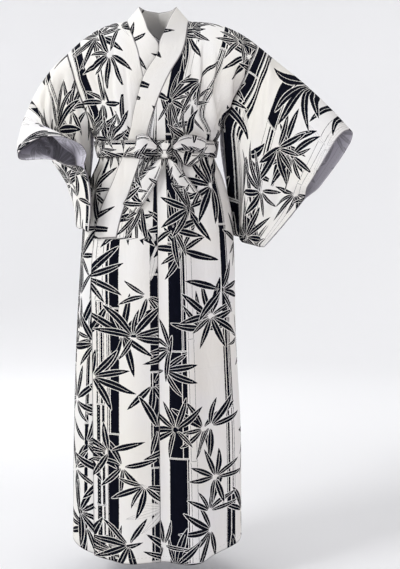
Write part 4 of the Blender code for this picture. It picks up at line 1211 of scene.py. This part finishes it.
STALKS = {
    # left edge, width, joint spacing, striped share, outline only, seed
    "body_left": ((0.040, 0.052, 0.29, 0.35, 0.0, 0.3), (0.098, 0.020, 0.33, 0.0, 1.0, 1.9),
                  (0.205, 0.022, 0.25, 0.5, 0.0, 5.1)),
    "body_right": ((0.198, 0.009, 0.27, 0.2, 0.0, 2.2), (0.262, 0.034, 0.31, 0.4, 0.0, 4.4)),
    "okumi_left": ((0.002, 0.019, 0.26, 0.3, 0.0, 2.7), (0.102, 0.030, 0.34, 0.15, 0.0, 6.3),
                   (0.138, 0.017, 0.28, 0.9, 0.0, 3.6)),
    "okumi_right": ((0.060, 0.034, 0.30, 0.4, 0.0, 1.3),),
    "sleeve_left": ((0.004, 0.030, 0.27, 0.1, 0.0, 1.1), (0.040, 0.015, 0.30, 0.9, 0.0, 2.6),
                    (0.125, 0.034, 0.24, 0.2, 0.0, 7.7), (0.288, 0.018, 0.26, 0.0, 1.0, 3.2)),
    "sleeve_right": ((0.070, 0.020, 0.26, 0.4, 0.0, 3.3), (0.165, 0.026, 0.25, 0.7, 0.0, 4.8),
                     (0.304, 0.017, 0.22, 0.3, 0.0, 1.4)),
    "collar": (),
    "belt": ((0.000, 0.011, 0.21, 0.3, 0.0, 3.9), (0.033, 0.008, 0.17, 0.6, 0.0, 8.2)),
}
cottons = {}
HEMMED = {
    # stitch rows: distance from the edge, and which edges
    "body": ((0.016, "ends"),), "okumi": ((0.016, "ends"), (0.014, "cuff")), "sleeve": ((0.013, "cuff"),),
    "collar": (), "belt": ((0.0022, "sides"),),
}
for number, (name, stalks) in enumerate(STALKS.items()):
    share = {"collar": 0.38, "belt": 1.0}.get(name, 0.95)
    kind = name.split("_")[0]
    drawn = 0.0 if name in ("collar", "belt") else 0.45
    seed = 10.0 * number + 4.0
    spacing = {"belt": 0.62, "sleeve_right": 0.80}.get(name, 1.0)
    settings = {"share": share, "drawn": drawn, "spacing": spacing,
                "cut_size": CUTS[name], "hemmed": HEMMED[kind]}
    face = printed_cotton(name + " cotton", stalks, seed, **settings)
    if kind in ("collar", "belt"):  # sewn double, so the same face shows on both sides
        cottons[name] = (face, face)
    else:
        cottons[name] = (face, printed_cotton(name + " reverse", stalks, seed, reverse=True, **settings))
print(len(cottons), "printed cottons")

# %% [markdown]
# ## Finishing each piece
# Every piece gets its thickness, its face and reverse, and says which solid it stands for.
# The sheet's flat size is the cut of what shows.

# %% Thickness, materials and the frame
def dress(piece, node, cotton, thickness, outside_first):
    for material in cottons[cotton]:
        piece.data.materials.append(material)
    finish_cloth(piece, thickness, outside_first)
    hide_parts(node)
    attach(piece, "root")
    print(node, len(piece.data.polygons), "faces")


dress(bodies[1], "body_left", "body_left", COTTON, False)
dress(bodies[-1], "body_right", "body_right", COTTON, True)
dress(overlaps[1], "okumi_left", "okumi_left", COTTON, False)
dress(overlaps[-1], "okumi_right", "okumi_right", COTTON, True)
dress(collar, "collar", "collar", 0.0022, False)
dress(sleeves[1], "sleeve_left", "sleeve_left", COTTON, False)
dress(sleeves[-1], "sleeve_right", "sleeve_right", COTTON, True)
dress(belt, "belt_band", "belt", 0.0020, True)
for node, piece in bow.items():
    dress(piece, node, "belt", 0.0018, "loop" in node)
knot.data.materials.append(cottons["belt"][0])
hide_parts("belt_knot")
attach(knot, "root")

# %% [markdown]
# ## Floor, light and camera
# A pale sweep and large soft lights, as for a catalogue picture, and the camera at the
# photograph's own angle: a little above the waist, looking slightly down.

# %% The sweep
FLOOR = -1.52
SWEEP_RADIUS = 5.2
bpy.ops.mesh.primitive_circle_add(vertices=128, radius=SWEEP_RADIUS, fill_type="NGON")
floor = bpy.context.object
floor.name = "sweep"
for vertex in floor.data.vertices:
    vertex.co.z = FLOOR
bpy.ops.object.mode_set(mode="EDIT")
bpy.ops.mesh.select_mode(type="EDGE")
bpy.ops.mesh.select_all(action="SELECT")
bpy.ops.mesh.region_to_loop()
bpy.ops.mesh.extrude_region_move(TRANSFORM_OT_translate={"value": (0, 0, 5)})
bpy.ops.object.mode_set(mode="OBJECT")
bend = floor.modifiers.new("bend", "BEVEL")
bend.width = 2.0
bend.segments = 24
bend.limit_method = "ANGLE"
bend.angle_limit = math.radians(60)
bpy.ops.object.modifier_apply(modifier=bend.name)
bpy.ops.object.shade_smooth()
pale = bpy.data.materials.new("pale sweep")
pale.use_nodes = True
pale_shader = pale.node_tree.nodes["Principled BSDF"]
pale_shader.inputs["Base Color"].default_value = (0.90, 0.90, 0.905, 1)
pale_shader.inputs["Roughness"].default_value = 0.9
floor.data.materials.append(pale)
print("floor", round(NECK_BASE + FLOOR, 2), "m from the hem")

# %% Lights
LIGHTS = (
    # name, place, watts, size, colour
    ("key", (-2.6, -1.7, 1.5), 72, 1.1, (0.985, 0.985, 1.0)),
    ("fill", (2.6, -1.7, 0.9), 7, 2.0, (1.0, 0.90, 0.74)),
    ("top", (0.3, 0.4, 2.6), 23, 2.2, (1.0, 1.0, 1.0)),
    ("back", (-1.4, 2.4, 1.0), 24, 2.2, (1.0, 1.0, 1.0)),
    ("low lilac", (1.5, -1.5, -1.2), 3.2, 0.9, (0.86, 0.70, 1.0)),
)
SWEEP_LIGHTS = ((-1.7, 1.2, 0.9), (1.9, 1.2, 0.9))
for name, place, watts, size, colour in LIGHTS:
    bpy.ops.object.light_add(type="AREA", location=place)
    light = bpy.context.object
    light.name = name
    light.data.energy = watts
    light.data.size = size
    light.data.color = colour
    light.rotation_euler = (Vector((0, 0, -0.55)) - light.location).to_track_quat("-Z", "Y").to_euler()
for number, place in enumerate(SWEEP_LIGHTS):
    bpy.ops.object.light_add(type="AREA", location=place, rotation=(math.radians(78), 0, 0))
    light = bpy.context.object
    light.name = f"sweep_light_{number}"
    light.data.energy = 22
    light.data.size = 1.6
world = bpy.data.worlds.new("studio")
world.use_nodes = True
world.node_tree.nodes["Background"].inputs[0].default_value = (0.95, 0.96, 1.0, 1)
world.node_tree.nodes["Background"].inputs[1].default_value = 0.42
bpy.context.scene.world = world
bpy.context.scene.view_settings.view_transform = "Standard"
print(len(LIGHTS), "lights")

# %% Camera
bpy.ops.object.camera_add(location=(0.115, -2.8, -0.38), rotation=(math.radians(90 - 6.3), 0, 0))
camera = bpy.context.object
camera.name = "camera"
camera.data.sensor_fit = "VERTICAL"
camera.data.sensor_height = 36
camera.data.lens = 1007 / 569 * 36
bpy.context.scene.camera = camera
print("lens", round(camera.data.lens, 1), "mm")
